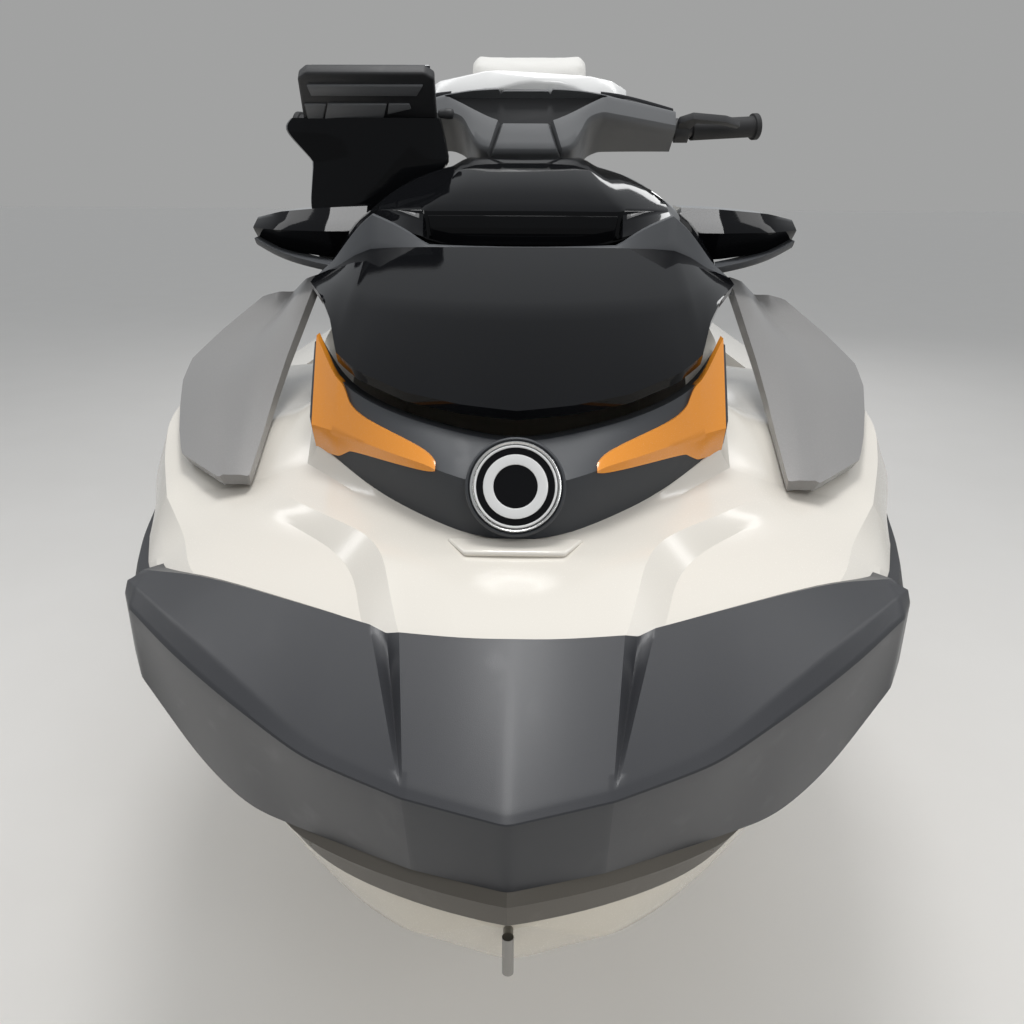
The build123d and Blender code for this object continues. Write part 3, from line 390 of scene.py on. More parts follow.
def skin(rows, creases, row_creases=None, mirrored=True, closed=True):
    """Skin through rows of points, with creases by a point's place in its row and row creases by row."""
    if 0 in creases and rows[0][0] == rows[0][-1]:
        creases = {**creases, len(rows[0]) - 1: creases[0]}
    bm = bmesh.new()
    crease = bm.edges.layers.float.new("crease_edge")
    chains = []
    for points in rows:
        verts = [bm.verts.new(point) for point in points]
        chains.append((verts, [bm.edges.new(pair) for pair in zip(verts, verts[1:])]))
    for (_, one), (_, two) in zip(chains, chains[1:]):
        bmesh.ops.bridge_loops(bm, edges=one + two)
    # A crease is an amount, or an amount and the first and last row that it runs between
    for index, wanted in creases.items():
        amount, first, last = wanted if isinstance(wanted, tuple) else (wanted, 0, len(chains))
        for (one, _), (two, _) in list(zip(chains, chains[1:]))[first:last]:
            edge = bm.edges.get((one[index], two[index]))
            if edge:
                edge[crease] = amount
    for index, amount in (row_creases or {}).items():
        for edge in chains[index][1]:
            edge[crease] = max(edge[crease], amount)
    if mirrored:
        geometry = bm.verts[:] + bm.edges[:] + bm.faces[:]
        bmesh.ops.mirror(bm, geom=geometry, matrix=Matrix.Identity(4), merge_dist=MERGE, axis="Y")
    bmesh.ops.remove_doubles(bm, verts=bm.verts, dist=MERGE)
    if closed:
        rim = [edge for edge in bm.edges if edge.is_boundary]
        for edge in rim:
            edge[crease] = 1.0
        bmesh.ops.holes_fill(bm, edges=rim, sides=0)
    seal(bm)
    return bm


def ring(points):
    """Closed row: its first point again at its end."""
    return list(points) + [points[0]]


def along(table, where):
    """Row of a table of numbers at a place between two of its rows."""
    for low, high in zip(table, table[1:]):
        if where <= high[0]:
            break
    share = (where - low[0]) / (high[0] - low[0])
    return mix(low, high, share)


def mix(low, high, share):
    """Numbers, or groups of numbers, between two of the same form."""
    if isinstance(low, (tuple, list)):
        return tuple(mix(a, b, share) for a, b in zip(low, high))
    return low + (high - low) * share


def pushed(bm, faces, push):
    """Moves faces away, with walls between their old and new edges."""
    grown = bmesh.ops.extrude_face_region(bm, geom=faces)
    moved = [item for item in grown["geom"] if isinstance(item, bmesh.types.BMVert)]
    bmesh.ops.translate(bm, verts=moved, vec=push)


def slab(points, push):
    """Flat outline pushed to a thickness."""
    bm = bmesh.new()
    verts = [bm.verts.new(point) for point in points]
    pushed(bm, [bm.faces.new(verts)], push)
    seal(bm)
    return bm


def turn(profile, centre, axis, across, steps=48):
    """Shape turned about an axis from (along, radius) points in millimetres, with its ends on the axis."""
    bm = bmesh.new()
    verts = [bm.verts.new(centre + (axis * run + across * radius) * MM) for run, radius in profile]
    edges = [bm.edges.new(pair) for pair in zip(verts, verts[1:])]
    bmesh.ops.spin(bm, geom=verts + edges, cent=centre, axis=axis, angle=math.tau, steps=steps,
                   use_merge=True)
    seal(bm)
    return bm


def copy_of(node):
    """The solid's own mesh with its loose triangles joined and flat faces made whole."""
    bm = bmesh.new()
    bm.from_mesh(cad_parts[node].data)
    bmesh.ops.remove_doubles(bm, verts=bm.verts, dist=MERGE)
    bmesh.ops.dissolve_limit(bm, angle_limit=FLAT_ANGLE, verts=bm.verts, edges=bm.edges,
                             delimit={"NORMAL"})
    return bm


def dropped(row):
    """Row with its points brought to the bond line, which closes an end."""
    return [Vector((point.x, point.y, BOND * MM - DRAFT)) for point in row]


# Lower hull: station, keel height, chine, edge offset at the bond line
HULL = [
    (80, 388, (20, 392), 30),
    (140, 292, (92, 322), 122),
    (200, 235, (150, 305), 195),
    (300, 160, (222, 277), 292),
    (450, 92, (305, 258), 405),
    (700, 38, (405, 245), 492),
    (1050, 6, (480, 232), 582),
    (1500, 0, (522, 222), 602),
    (2400, 0, (535, 215), 603),
    (TRANSOM, 0, (530, 212), 598),
]
# Intake duct and pump tunnel: stations, half widths and heights of their roofs
DUCT_START, DUCT_END, DUCT_HALF = 2400, 2850, 75
DUCT_MOUTH, DUCT_ROOF = 6, 236
TUNNEL_START, TUNNEL_HALF, TUNNEL_ROOF = 2960, 165, 330
# Points of the bottom from the keel out: offset, or share of the chine's offset where that is less
BOTTOM = [(0, 0), (DUCT_HALF - 1, 0.30), (DUCT_HALF, 0.31), (TUNNEL_HALF - 1, 0.6), (TUNNEL_HALF, 0.61)]


def hull_row(s, roof=None, roof_half=0):
    """Half section of the hull from the keel out to the edge and back over the top."""
    _, keel, (chine_y, chine_z), edge = along(HULL, s)
    pairs = []
    for reach, share in BOTTOM:
        y = min(reach, share * chine_y)
        z = keel + (chine_z - keel) * y / chine_y
        if roof is not None and y < roof_half:
            z = roof
        pairs.append((y, z))
    pairs.append((mix(0, chine_y, 0.82), mix(keel, chine_z, 0.81)))
    pairs.append((chine_y, chine_z))
    pairs.append((mix(chine_y, edge, 0.55), mix(chine_z, BOND, 0.45)))
    return cross_row(s, pairs + [(edge, BOND), (0, BOND)])


rows = [hull_row(s) for s in (80, 108, 140, 170, 200, 250, 300, 370, 450, 570, 700, 870, 1050, 1500, 2000)]
first_cut = len(rows)
rows += [hull_row(DUCT_START - 1), hull_row(DUCT_START, DUCT_MOUTH, DUCT_HALF)]
rows += [hull_row(DUCT_END - 1, DUCT_ROOF, DUCT_HALF), hull_row(DUCT_END), hull_row(TUNNEL_START - 2)]
rows += [hull_row(s, TUNNEL_ROOF, TUNNEL_HALF) for s in (TUNNEL_START, TRANSOM)]
cut_creases = dict.fromkeys(range(first_cut, len(rows)), 1)
rows.append(dropped(rows[-1]))
# Creases at the walls of the cuts, the chine, the edge and the middle of the top
bm = skin(rows, {1: 1, 2: 1, 3: 1, 4: 1, 6: 0.75, 8: 1, 9: 1}, cut_creases)
build("hull_shell", bm, HULL_CREAM, "craft", ["lower_hull"], levels=2)

# Strakes under the hull: offset and first station
STRAKES = [(205, 1300), (365, 1500)]
STRAKE_END = TRANSOM - 100
DEADRISE = 0.395
for number, (y, first) in enumerate(STRAKES):
    z = DEADRISE * y
    rows = []
    for s, share in ((first, 0.1), (first + 160, 1), (STRAKE_END - 40, 1), (STRAKE_END, 0.7)):
        pairs = [(y - 26 * share, z + 4), (y + 4 * share, z - 12 * share), (y + 8 * share, z + 14)]
        rows.append(ring(cross_row(s, pairs)))
    bm = skin(rows, {0: 0.9, 1: 0.9, 2: 0.9})
    build(f"hull_strakes_{number}", bm, HULL_CREAM, "craft", levels=1)

# Deck: station, then centre, wall's top, its foot, tongue, shoulder, crest, gunwale and bond line
DECK = [
    (170, [(0, 612), (50, 612), (75, 610), (95, 606), (118, 590), (170, 572), (190, 540), (165, BOND)]),
    (230, [(0, 628), (60, 628), (92, 625), (112, 622), (142, 606), (232, 606), (262, 572), (232, BOND)]),
    (300, [(0, 638), (70, 640), (105, 642), (130, 645), (160, 620), (317, 612), (360, 582), (300, BOND)]),
    (345, [(0, 645), (95, 647), (118, 648), (152, 649), (184, 628), (343, 613), (388, 584), (342, BOND)]),
    (420, [(0, 662), (148, 664), (165, 662), (245, 657), (276, 645), (371, 614), (418, 585), (395, BOND)]),
    (500, [(0, 690), (232, 700), (246, 676), (300, 657), (335, 648), (418, 634), (446, 585), (425, BOND)]),
    (600, [(0, 745), (243, 800), (252, 738), (285, 712), (315, 700), (455, 656), (475, 585), (455, BOND)]),
    (700, [(0, 780), (246, 812), (256, 700), (300, 700), (315, 698), (482, 678), (512, 587), (492, BOND)]),
    (800, [(0, 800), (250, 822), (262, 700), (300, 700), (320, 700), (488, 692), (545, 590), (525, BOND)]),
    (1100, [(0, 790), (258, 790), (264, 700), (300, 692), (330, 684), (505, 664), (610, 578), (592, BOND)]),
    (1300, [(0, 640), (150, 640), (212, 636), (250, 622), (300, 615), (474, 604), (620, 560), (596, BOND)]),
    (1370, [(0, 600), (150, 600), (212, 600), (250, 592), (300, 592), (470, 590), (622.5, 550), (600, BOND)]),
    (2000, [(0, 600), (150, 600), (212, 600), (250, 590), (300, 588), (500, 565), (623.5, 530), (604, BOND)]),
    (TRANSOM, [(0, 600), (150, 600), (212, 600), (250, 560), (300, 555), (500, 525), (613, 500),
               (598, BOND)]),
]
# Storage bin: stations, half width and floor. Footwells: first station, offsets and floor
BIN_START, BIN_END, BIN_HALF, BIN_FLOOR = 500, 1030, 200, 430
WELL_START, WELL_INNER, WELL_OUTER, WELL_FLOOR = 1370, 262, 490, 430


def deck_row(s, opening=None):
    """Half section of the deck from the centre out, with the bin or the well as its opening."""
    _, (centre, top, foot, tongue, shoulder, crest, gunwale, bond) = along(DECK, s)
    half = min(BIN_HALF, 0.92 * top[0])
    rim = mix(centre[1], top[1], half / top[0])
    inner = [centre, (half - 3, rim), (half, rim), top, foot]
    outer = [tongue, shoulder, mix(shoulder, crest, 0.35), mix(shoulder, crest, 0.7), crest]
    if opening == "bin":
        inner[:2] = [(0, BIN_FLOOR), (half - 3, BIN_FLOOR)]
    if opening == "well":
        middle = (WELL_INNER + WELL_OUTER) / 2
        outer = [(WELL_INNER - 4, foot[1]), (WELL_INNER, WELL_FLOOR), (middle, WELL_FLOOR),
                 (WELL_OUTER, WELL_FLOOR), (WELL_OUTER + 4, crest[1])]
    return cross_row(s, inner + outer + [gunwale, bond, (0, BOND)])


rows = [deck_row(s) for s in (170, 200, 230, 265, 300, 345, 380, 420, 460, BIN_START - 2)]
rows.insert(0, dropped(rows[0]))
bin_first = len(rows)
rows += [deck_row(s, "bin") for s in (BIN_START, 550, 600, 650, 700, 800, 950, BIN_END)]
bin_last = len(rows) - 1
rows += [deck_row(s) for s in (BIN_END + 2, 1100, 1200, 1300, WELL_START)]
well_first = len(rows)
rows += [deck_row(s, "well") for s in (WELL_START + 40, 1500, 1700, 2000, 2600, TRANSOM)]
rows.append(dropped(rows[-1]))
end = len(rows) - 1
# Creases from the bin's wall out to the bond line, with the well's outer wall only beside the well
creases = {1: 1, 2: 1, 3: 0.85, 4: 0.6, 5: 1, 6: 1, 8: (0.9, well_first, end), 9: 0.85, 10: 0.6, 11: 1, 12: 1}
row_creases = {0: 1, 1: 1, bin_first - 1: 1, bin_first: 1, bin_last: 1, bin_last + 1: 1,
               well_first - 1: 0.7, well_first: 0.8, end - 1: 1, end: 1}
bm = skin(rows, creases, row_creases)
build("deck_shell", bm, DECK_WHITE, "craft", ["deck", "rear_deck"], levels=2, sharp=14)

# Bumper: offset, then (s, z) of the crease, bevel, top edge and lower edge
BUMPER = [
    (0, (0, 556), (8, 560), (163, 624), (26, 474)),
    (78, (27, 558), (36, 563), (166, 622), (64, 462)),
    (133, (61, 554), (72, 560), (200, 619), (120, 435)),
    (177, (91, 556), (106, 564), (226, 619), (150, 427)),
    (257, (154, 572), (176, 587), (268, 621), (200, 420)),
    (316, (208, 582), (232, 600), (300, 620), (250, 437)),
    (384, (284, 590), (306, 604), (330, 612), (292, 508)),
    (402, (320, 590), (330, 600), (345, 606), (325, 521)),
]
# Groove down each side of the bumper's face: offsets at the crease and at the top, and depth
GROOVE = [(80, 99, 0), (82, 112, 15), (84, 128, 0)]
# Share of the way from bevel to top edge, and the groove's share of its depth there
GROOVE_SHARE = {0: 0, 0.25: 0.35, 0.5: 0.7, 0.75: 1.0, 1: 0.35}


def bumper_row(low_y, high_y, depth):
    """Section of the bumper at an offset, which may drift from its crease to its top edge."""
    _, crease, _, _, low = along(BUMPER, low_y)
    points = []
    for share, deep in GROOVE_SHARE.items():
        y = mix(low_y, high_y, share)
        _, _, bevel, top, _ = along(BUMPER, y)
        s, z = mix(bevel, top, share)
        points.insert(0, at(s + 0.35 * depth * deep, y, z - depth * deep))
    points += long_row(low_y, [crease, mix(crease, low, 0.5), low, (low[0] + 100, low[1])])
    points.append(at(low[0] + 160, high_y, along(BUMPER, high_y)[3][1] - 45))
    return ring(points)


rows = [bumper_row(y, y, 0) for y in (0, 40)]
rows += [bumper_row(*groove) for groove in GROOVE]
rows += [bumper_row(y, y, 0) for y in (150, 177, 215, 257, 316, 350)]
rows += [bumper_row(384, 376, 0), bumper_row(402, 384, 0)]
# Creases at the top edge, bevel, crease line, lower edge and back, and at the groove's rows
bm = skin(rows, {0: 1, 4: 0.9, 5: 0.85, 7: 1, 8: 1, 9: 1}, {0: 0.5, 2: 1, 3: 0.95, 4: 1, 11: 0.6})
build("bumper_shell", bm, BUMPER_BLUE, "craft", ["front_bumper"], levels=3)

# Lip: offset, then its top behind the bumper, its front edge and its foot
LIP = [
    (0, (32, 480), (18, 466), (38, 430)),
    (64, (66, 468), (52, 452), (74, 413)),
    (133, (124, 441), (112, 425), (136, 385)),
    (177, (156, 433), (144, 420), (172, 379)),
    (205, (184, 428), (172, 412), (197, 384)),
    (228, (208, 426), (200, 414), (210, 404)),
]
rows = []
for y, top, front, low in LIP:
    pairs = [(top[0] + 80, top[1]), top, front, (front[0] + 7, front[1] - 5), low, (low[0] + 80, low[1])]
    rows.append(ring(long_row(y, pairs)))
bm = skin(rows, dict.fromkeys(range(6), 1), {0: 0.6})
build("lip_strip", bm, LIP_DARK, "craft", ["bumper_lip"], levels=2)

# Rub rails: station, offset of the outer face, low and high edge
RAILS = [
    (350, 403, 522, 585),
    (385, 426, 522, 584),
    (450, 450, 500, 580),
    (534, 476, 480, 574),
    (606, 494, 462, 570),
    (697, 517, 445, 566),
    (785, 550, 430, 560),
    (1000, 606, 400, 530),
    (1500, 631, 362, 462),
    (2400, 633, 352, 442),
    (TRANSOM - 60, 618, 352, 432),
]
rows = []
for s, outer, low, high in RAILS:
    pairs = [(outer - 60, low), (outer - 14, low), (outer, (low + high) / 2), (outer - 10, high),
             (outer - 60, high)]
    rows.append(ring(cross_row(s, pairs)))
bm = skin(rows, {0: 1, 1: 0.7, 2: 0.5, 3: 0.7, 4: 1})
build("rail_strips", bm, RAIL_BLACK, "craft", ["side_rails"], levels=2)

# Wings: station, then inner edge, ridge and outer edge
WINGS = [
    (480, (310, 655), (332, 656), (340, 655)),
    (553, (310, 686), (356, 676), (407, 661)),
    (620, (310, 716), (374, 695), (431, 672)),
    (700, (310, 749), (390, 720), (456, 685)),
    (782, (310, 778), (398, 736), (479, 702)),
    (850, (310, 802), (382, 760), (487, 720)),
    (905, (311, 819), (367, 778), (457, 753)),
    (955, (312, 833), (352, 806), (402, 800)),
]
rows = []
for s, inner, ridge, outer in WINGS:
    facet = mix(inner, ridge, 0.36)
    crown = mix(ridge, outer, 0.5)
    rise = min(4, (outer[0] - inner[0]) / 25)
    pairs = [inner, (facet[0] + rise, facet[1] + rise), ridge, (crown[0], crown[1] + rise), outer]
    rows.append(cross_row(s, pairs))
bm = skin(rows, {0: 1, 1: 0.8, 2: 0.9, 4: 1}, {0: 1, 7: 1}, closed=False)
build("wing_panels", bm, WING_GREY, "craft", ["side_wings"], levels=2, wall=-0.014)

# Nose surround: offset, then lower edge, undercut and upper edge
SURROUND = [
    (0, (325, 645), (338, 698), (396, 731)),
    (60, (353, 648), (348, 709), (405, 741)),
    (110, (391, 651), (383, 718), (420, 750)),
    (160, (434, 655), (425, 722), (446, 762)),
    (205, (479, 664), (466, 725), (490, 778)),
    (240, (525, 684), (497, 732), (550, 812)),
]
rows = []
for y, low, middle, top in SURROUND:
    rows.append(ring(long_row(y, [low, middle, top, (top[0] + 46, top[1] - 8), (low[0] + 92, low[1] - 6)])))
bm = skin(rows, {0: 0.8, 1: 0.8, 2: 0.9, 3: 1, 4: 1})
build("surround_frame", bm, CHARCOAL, "craft", ["nose_surround"], levels=2)

sill = [at(338, -70, 643), at(338, 70, 643), at(306, 50, 640), at(306, -50, 640)]
build("nose_sill", slab(sill, Z * 0.006), DECK_WHITE, "craft", bevel=0.003)

# Accent blades: offset, then top, crease and low edge
ACCENTS = [
    (83, (370, 718), (362, 713), (364, 711)),
    (90, (381, 726), (368, 716), (366, 709)),
    (131, (411, 737), (397, 719), (400, 708)),
    (176, (448, 748), (437, 723), (442, 707)),
    (187, (463, 759), (447, 724), (451, 706)),
    (195, (478, 776), (454, 724), (460, 700)),
    (203, (485, 780), (461, 725), (468, 695)),
    (213, (501, 789), (469, 726), (479, 694)),
    (222, (518, 801), (477, 726), (491, 693)),
    (236, (543, 819), (487, 727), (505, 693)),
]
rows = []
for y, top, crease, low in ACCENTS:
    pairs = [top, mix(top, crease, 0.5), crease, low, (low[0] + 18, low[1]), (top[0] + 18, top[1])]
    rows.append(ring(long_row(y, pairs)))
bm = skin(rows, {0: 1, 2: 1, 3: 1, 4: 1, 5: 1}, {4: 0.5, 6: 0.4})
build("accent_blades", bm, ORANGE, "craft", ["accent_panels"], levels=2)

# Round plate on the nose: moulded collar, steel bezel and a dark disc with two pale rings
TILT = math.radians(26)
FACE = Vector((math.cos(TILT), 0, math.sin(TILT)))
EMBLEM = at(346, 0, 700)
collar = turn([(-2, 0), (-2, 44), (4, 52), (7, 50.5), (9, 49), (7, 47), (0, 46), (0, 0)], EMBLEM, FACE, Y)
build("emblem_collar", collar, CHARCOAL, "craft", levels=1)
bezel = turn([(-9, 0), (-9, 40), (0, 46.5), (8, 47), (10, 46), (10, 44), (6, 43.5), (6, 0)], EMBLEM, FACE, Y)
build("emblem_bezel", bezel, BRIGHT_STEEL, "craft", levels=1)
disc = turn([(4, 0), (4, 43.6), (8, 43.6), (8.6, 42), (8.2, 40), (8.2, 0)], EMBLEM, FACE, Y)
build("emblem_plate", disc, HOOD_BLACK, "craft", ["emblem_disc"], levels=1)
for number, (low, high) in enumerate([(39.5, 42.5), (22, 33)]):
    edge = [(9.4, high - 0.2), (9.8, high - 1), (9.8, low + 1), (9.4, low + 0.2)]
    rim = turn(ring([(7, high), *edge, (7, low)]), EMBLEM, FACE, Y)
    build(f"emblem_ring_{number}", rim, CAP_WHITE, "craft", levels=1)

# Hood: offset, then its front lip, middle and rear edge
HOOD = [
    (0, (404, 755), (580, 832), (784, 889)),
    (60, (411, 760), (584, 833), (784, 889)),
    (120, (430, 768), (592, 835), (784, 889)),
    (175, (462, 784), (610, 838), (784, 888)),
    (205, (502, 796), (630, 842), (784, 886)),
    (225, (580, 822), (680, 850), (784, 878)),
    (248, (652, 838), (710, 850), (784, 864)),
    (282, (750, 846), (766, 848), (784, 850)),
]
rows = []
for y, lip, middle, rear in HOOD:
    rows.append(long_row(y, [lip, mix(lip, middle, 0.5), middle, mix(middle, rear, 0.5), rear]))
bm = skin(rows, {0: 1, 2: 0.5, 4: 1}, {3: 0.55, 4: 0.85}, closed=False)
build("hood_shell", bm, HOOD_BLACK, "hood_body", ["hood"], levels=2, wall=-0.012)

# Trim band: offset, low edge and high edge, with a front face that leans back
TRIM = [
    (0, 878, 898),
    (132, 877, 902),
    (165, 876.5, 926),
    (206, 876, 943),
    (228, 867, 926),
    (262, 852, 882),
    (290, 838, 858),
]
rows = []
for y, low, high in TRIM:
    pairs = [(784, low), (784, mix(low, high, 0.35)), (797, high - 1), (812, high), (812, low)]
    rows.append(ring(long_row(y, pairs)))
bm = skin(rows, {0: 1, 1: 0.9, 2: 0.8, 3: 0.9, 4: 1}, {1: 0.9, 3: 1, 5: 0.5})
build("trim_strip", bm, TRIM_GREY, "hood_body", ["trim_band"], levels=2)

# Upper cowl: station, then half outline from the top. The first two rows are the floor of the recess.
COWL = [
    (812, [(0, 893), (132, 893), (138, 902), (205, 941), (262, 880), (290, 850), (284, 838), (0, 838)]),
    (866, [(0, 893), (137, 893), (142, 940), (208, 946), (262, 889), (292, 856), (286, 838), (0, 838)]),
    (868, [(0, 945), (138, 944), (146, 945), (208, 946), (262, 890), (292, 856), (286, 838), (0, 838)]),
    (905, [(0, 966), (120, 965), (150, 958), (208, 955), (260, 908), (292, 862), (286, 838), (0, 838)]),
    (950, [(0, 986), (104, 984), (150, 972), (206, 964), (256, 928), (292, 870), (286, 838), (0, 838)]),
    (1050, [(0, 1016), (100, 1014), (118, 1004), (160, 994), (240, 936), (292, 880), (286, 838), (0, 838)]),
    (1096, [(0, 1012), (90, 1018), (112, 1006), (150, 994), (236, 930), (286, 880), (280, 838), (0, 838)]),
]
rows = [cross_row(s, half) for s, half in COWL]
bm = skin(rows, {1: 0.8, 2: 0.8, 3: 0.7, 4: 0.7, 5: 0.9}, {1: 1, 2: 0.9})
build("cowl_shell", bm, HOOD_BLACK, "hood_body", ["upper_cowl"], levels=2)
recess = slab(cross_row(862, [(-130, 897), (130, 897), (136, 938), (-136, 938)]), X * 0.003)
build("recess_panel", recess, HOOD_BLACK, "hood_body", bevel=0.001)

# Mirror shells: offset, front and rear stations, low and high edge
MIRRORS = [
    (240, 935, 1060, 868, 946),
    (300, 915, 1062, 872, 944),
    (370, 920, 1062, 882, 938),
    (414, 950, 1050, 898, 928),
]
rows = []
for y, s0, s1, low, high in MIRRORS:
    nose = low + 0.55 * (high - low)
    rows.append(ring(long_row(y, [(s0, nose), (s0 + 34, high), (s1, high), (s1, low), (s0 + 26, low)])))
bm = skin(rows, {0: 0.8, 1: 1, 2: 1, 3: 1, 4: 1}, {0: 0.9, 1: 0.5, 2: 0.5, 3: 1})
build("mirror_shells", bm, HOOD_BLACK, "hood_body", ["mirror_housings"], levels=2)

# Sill under each mirror: offset, station, height
SILLS = [
    (284, 880, 862),
    (330, 905, 868),
    (372, 925, 878),
    (410, 950, 895),
]
rows = []
for y, s, z in SILLS:
    rows.append(ring(long_row(y, [(s - 12, z + 5), (s, z - 6), (s + 60, z - 6), (s + 50, z + 6)])))
bm = skin(rows, {0: 0.9, 1: 0.9, 2: 1, 3: 1}, {0: 0.8})
build("mirror_sills", bm, TRIM_GREY, "hood_body", levels=2)

# Shroud over the bars: offset at the top and at the foot, front, low edge, recess floor and depth, high edge
SHROUD = [
    (0, 0, 101, 42, 94, 30, 157),
    (38, 56, 101, 42, 94, 30, 157),
    (42, 60, 91, 42, 95, 20, 157),
    (46, 64, 107, 42, 97, 36, 157),
    (62, 84, 106, 46, 103, 34, 157),
    (90, 98, 102, 78, 119, 34, 157),
    (104, 106, 99, 101, 128, 33, 156.8),
    (130, 130, 93, 110, 144, 26, 155.4),
    (138, 138, 91, 111, 146, 1, 155),
    (200, 200, 67, 112, 146, 1, 152.6),
    (262, 262, 44, 112, 143, 1, 150),
]
rows = []
for b, foot, front, low, floor, depth, high in SHROUD:
    rows.append(ring([
        steer(front - 7, foot, low),
        steer(front, mix(foot, b, 0.2), low + 7),
        steer(front, b, floor),
        steer(front - depth, b, floor + 2),
        steer(front - depth, b, high - 8),
        steer(front - 2, b, high - 6),
        steer(front - 9, b, high),
        steer(-40, b, high),
        steer(-40, foot, low),
    ]))
bm = skin(rows, {0: 0.8, 1: 0.7, 2: 0.9, 3: 0.9, 4: 0.9, 5: 0.9, 6: 0.7, 7: 0.8, 8: 1},
          {1: 0.9, 2: 0.9, 3: 0.9, 5: 0.4, 7: 0.8, 8: 0.8})
build("shroud_shell", bm, SHROUD_GREY, "bars", ["bar_shroud"], levels=2)

# Dark insert in the shroud's recess, from its half outline
half = [(52, 99), (94, 125), (126, 147), (126, 150)]
insert = [steer(74, b, h) for b, h in half] + [steer(74, -b, h) for b, h in reversed(half)]
build("shroud_insert", slab(insert, AHEAD * 0.004), MATT_BLACK, "bars", bevel=0.0008)

# Covers on the shroud's arms: offset, front and height
ARMS = [(128, 92, 156), (160, 82, 158), (210, 64, 155), (258, 46, 150)]
rows = []
for b, front, high in ARMS:
    pairs = [(front + 1, high - 14), (front - 7, high + 4), (-34, high + 4), (-42, high - 10)]
    rows.append(ring([steer(a, b, h) for a, h in pairs]))
bm = skin(rows, {0: 0.9, 1: 0.8, 2: 0.8, 3: 0.9}, {0: 0.8})
build("arm_covers", bm, HOOD_BLACK, "bars", levels=2)

# Screen mount: height, then outer edge, ridge and inner edge to starboard
MOUNT = [
    (760, 340, 246, 150),
    (850, 352, 262, 152),
    (880, 358, 280, 213),
    (946, 362, 276, 202),
    (972, 359, 250, 152),
    (1010, 354, 218, 126),
    (1036, 378, 204, 130),
    (1062, 402, 200, 135),
    (1077, 386, 200, 139),
]
rows = []
for z, outer, ridge, inner in MOUNT:
    pairs = [(1149, outer), (1122, outer), (1105, ridge), (1118, inner), (1149, inner)]
    rows.append(ring([at(s, -y, z) for s, y in pairs]))
bm = skin(rows, {0: 0.8, 1: 0.6, 2: 0.7, 3: 0.6, 4: 0.8}, {3: 0.4, 5: 0.5}, mirrored=False)
build("mount_shell", bm, HOOD_BLACK, "craft", ["screen_mount"], levels=2)

# Screen: corners of its slab as shares of the way down its back and offsets to starboard
BACK_NORMAL = Vector((0.663, 0, -0.748))
SCREEN = [(0.02, 342), (0.12, 356), (1, 366), (1, 146), (0.12, 142), (0.02, 156)]
SCREEN_THICK = 20
# Raised rib and panels on its back: name, corners and height
BACK_PLATES = [
    ("screen_rib", [(0.20, 343), (0.20, 160), (0.38, 172), (0.38, 340)], 4),
    ("screen_panel_0", [(0.54, 355), (0.54, 320), (0.80, 331), (0.80, 356)], 3),
    ("screen_panel_1", [(0.53, 317), (0.53, 222), (0.86, 234), (0.86, 330)], 4),
    ("screen_panel_2", [(0.53, 219), (0.53, 186), (0.62, 184), (0.66, 201), (0.72, 224)], 3),
]


def on_back(corners):
    """Points on the screen's back from (share of the way down, offset to starboard) corners."""
    return [at(1050 + 88 * down, -y, 1140 - 78 * down) for down, y in corners]


body = slab(on_back(SCREEN), BACK_NORMAL * -SCREEN_THICK * MM)
build("screen_body_slab", body, MATT_BLACK, "craft", ["screen_body"], bevel=0.004)
for name, corners, rise in BACK_PLATES:
    foot = [point - BACK_NORMAL * MM for point in on_back(corners)]
    raised = slab(foot, BACK_NORMAL * (rise + 1) * MM)
    build(name, raised, SHROUD_GREY, "craft", bevel=0.0012)
knob = turn([(-8, 0), (-8, 7), (2, 7), (4, 9), (14, 9), (17, 7), (18, 0)], at(1122, -134, 1084), Y, X, 24)
build("screen_knob", knob, MATT_BLACK, "craft", levels=1)

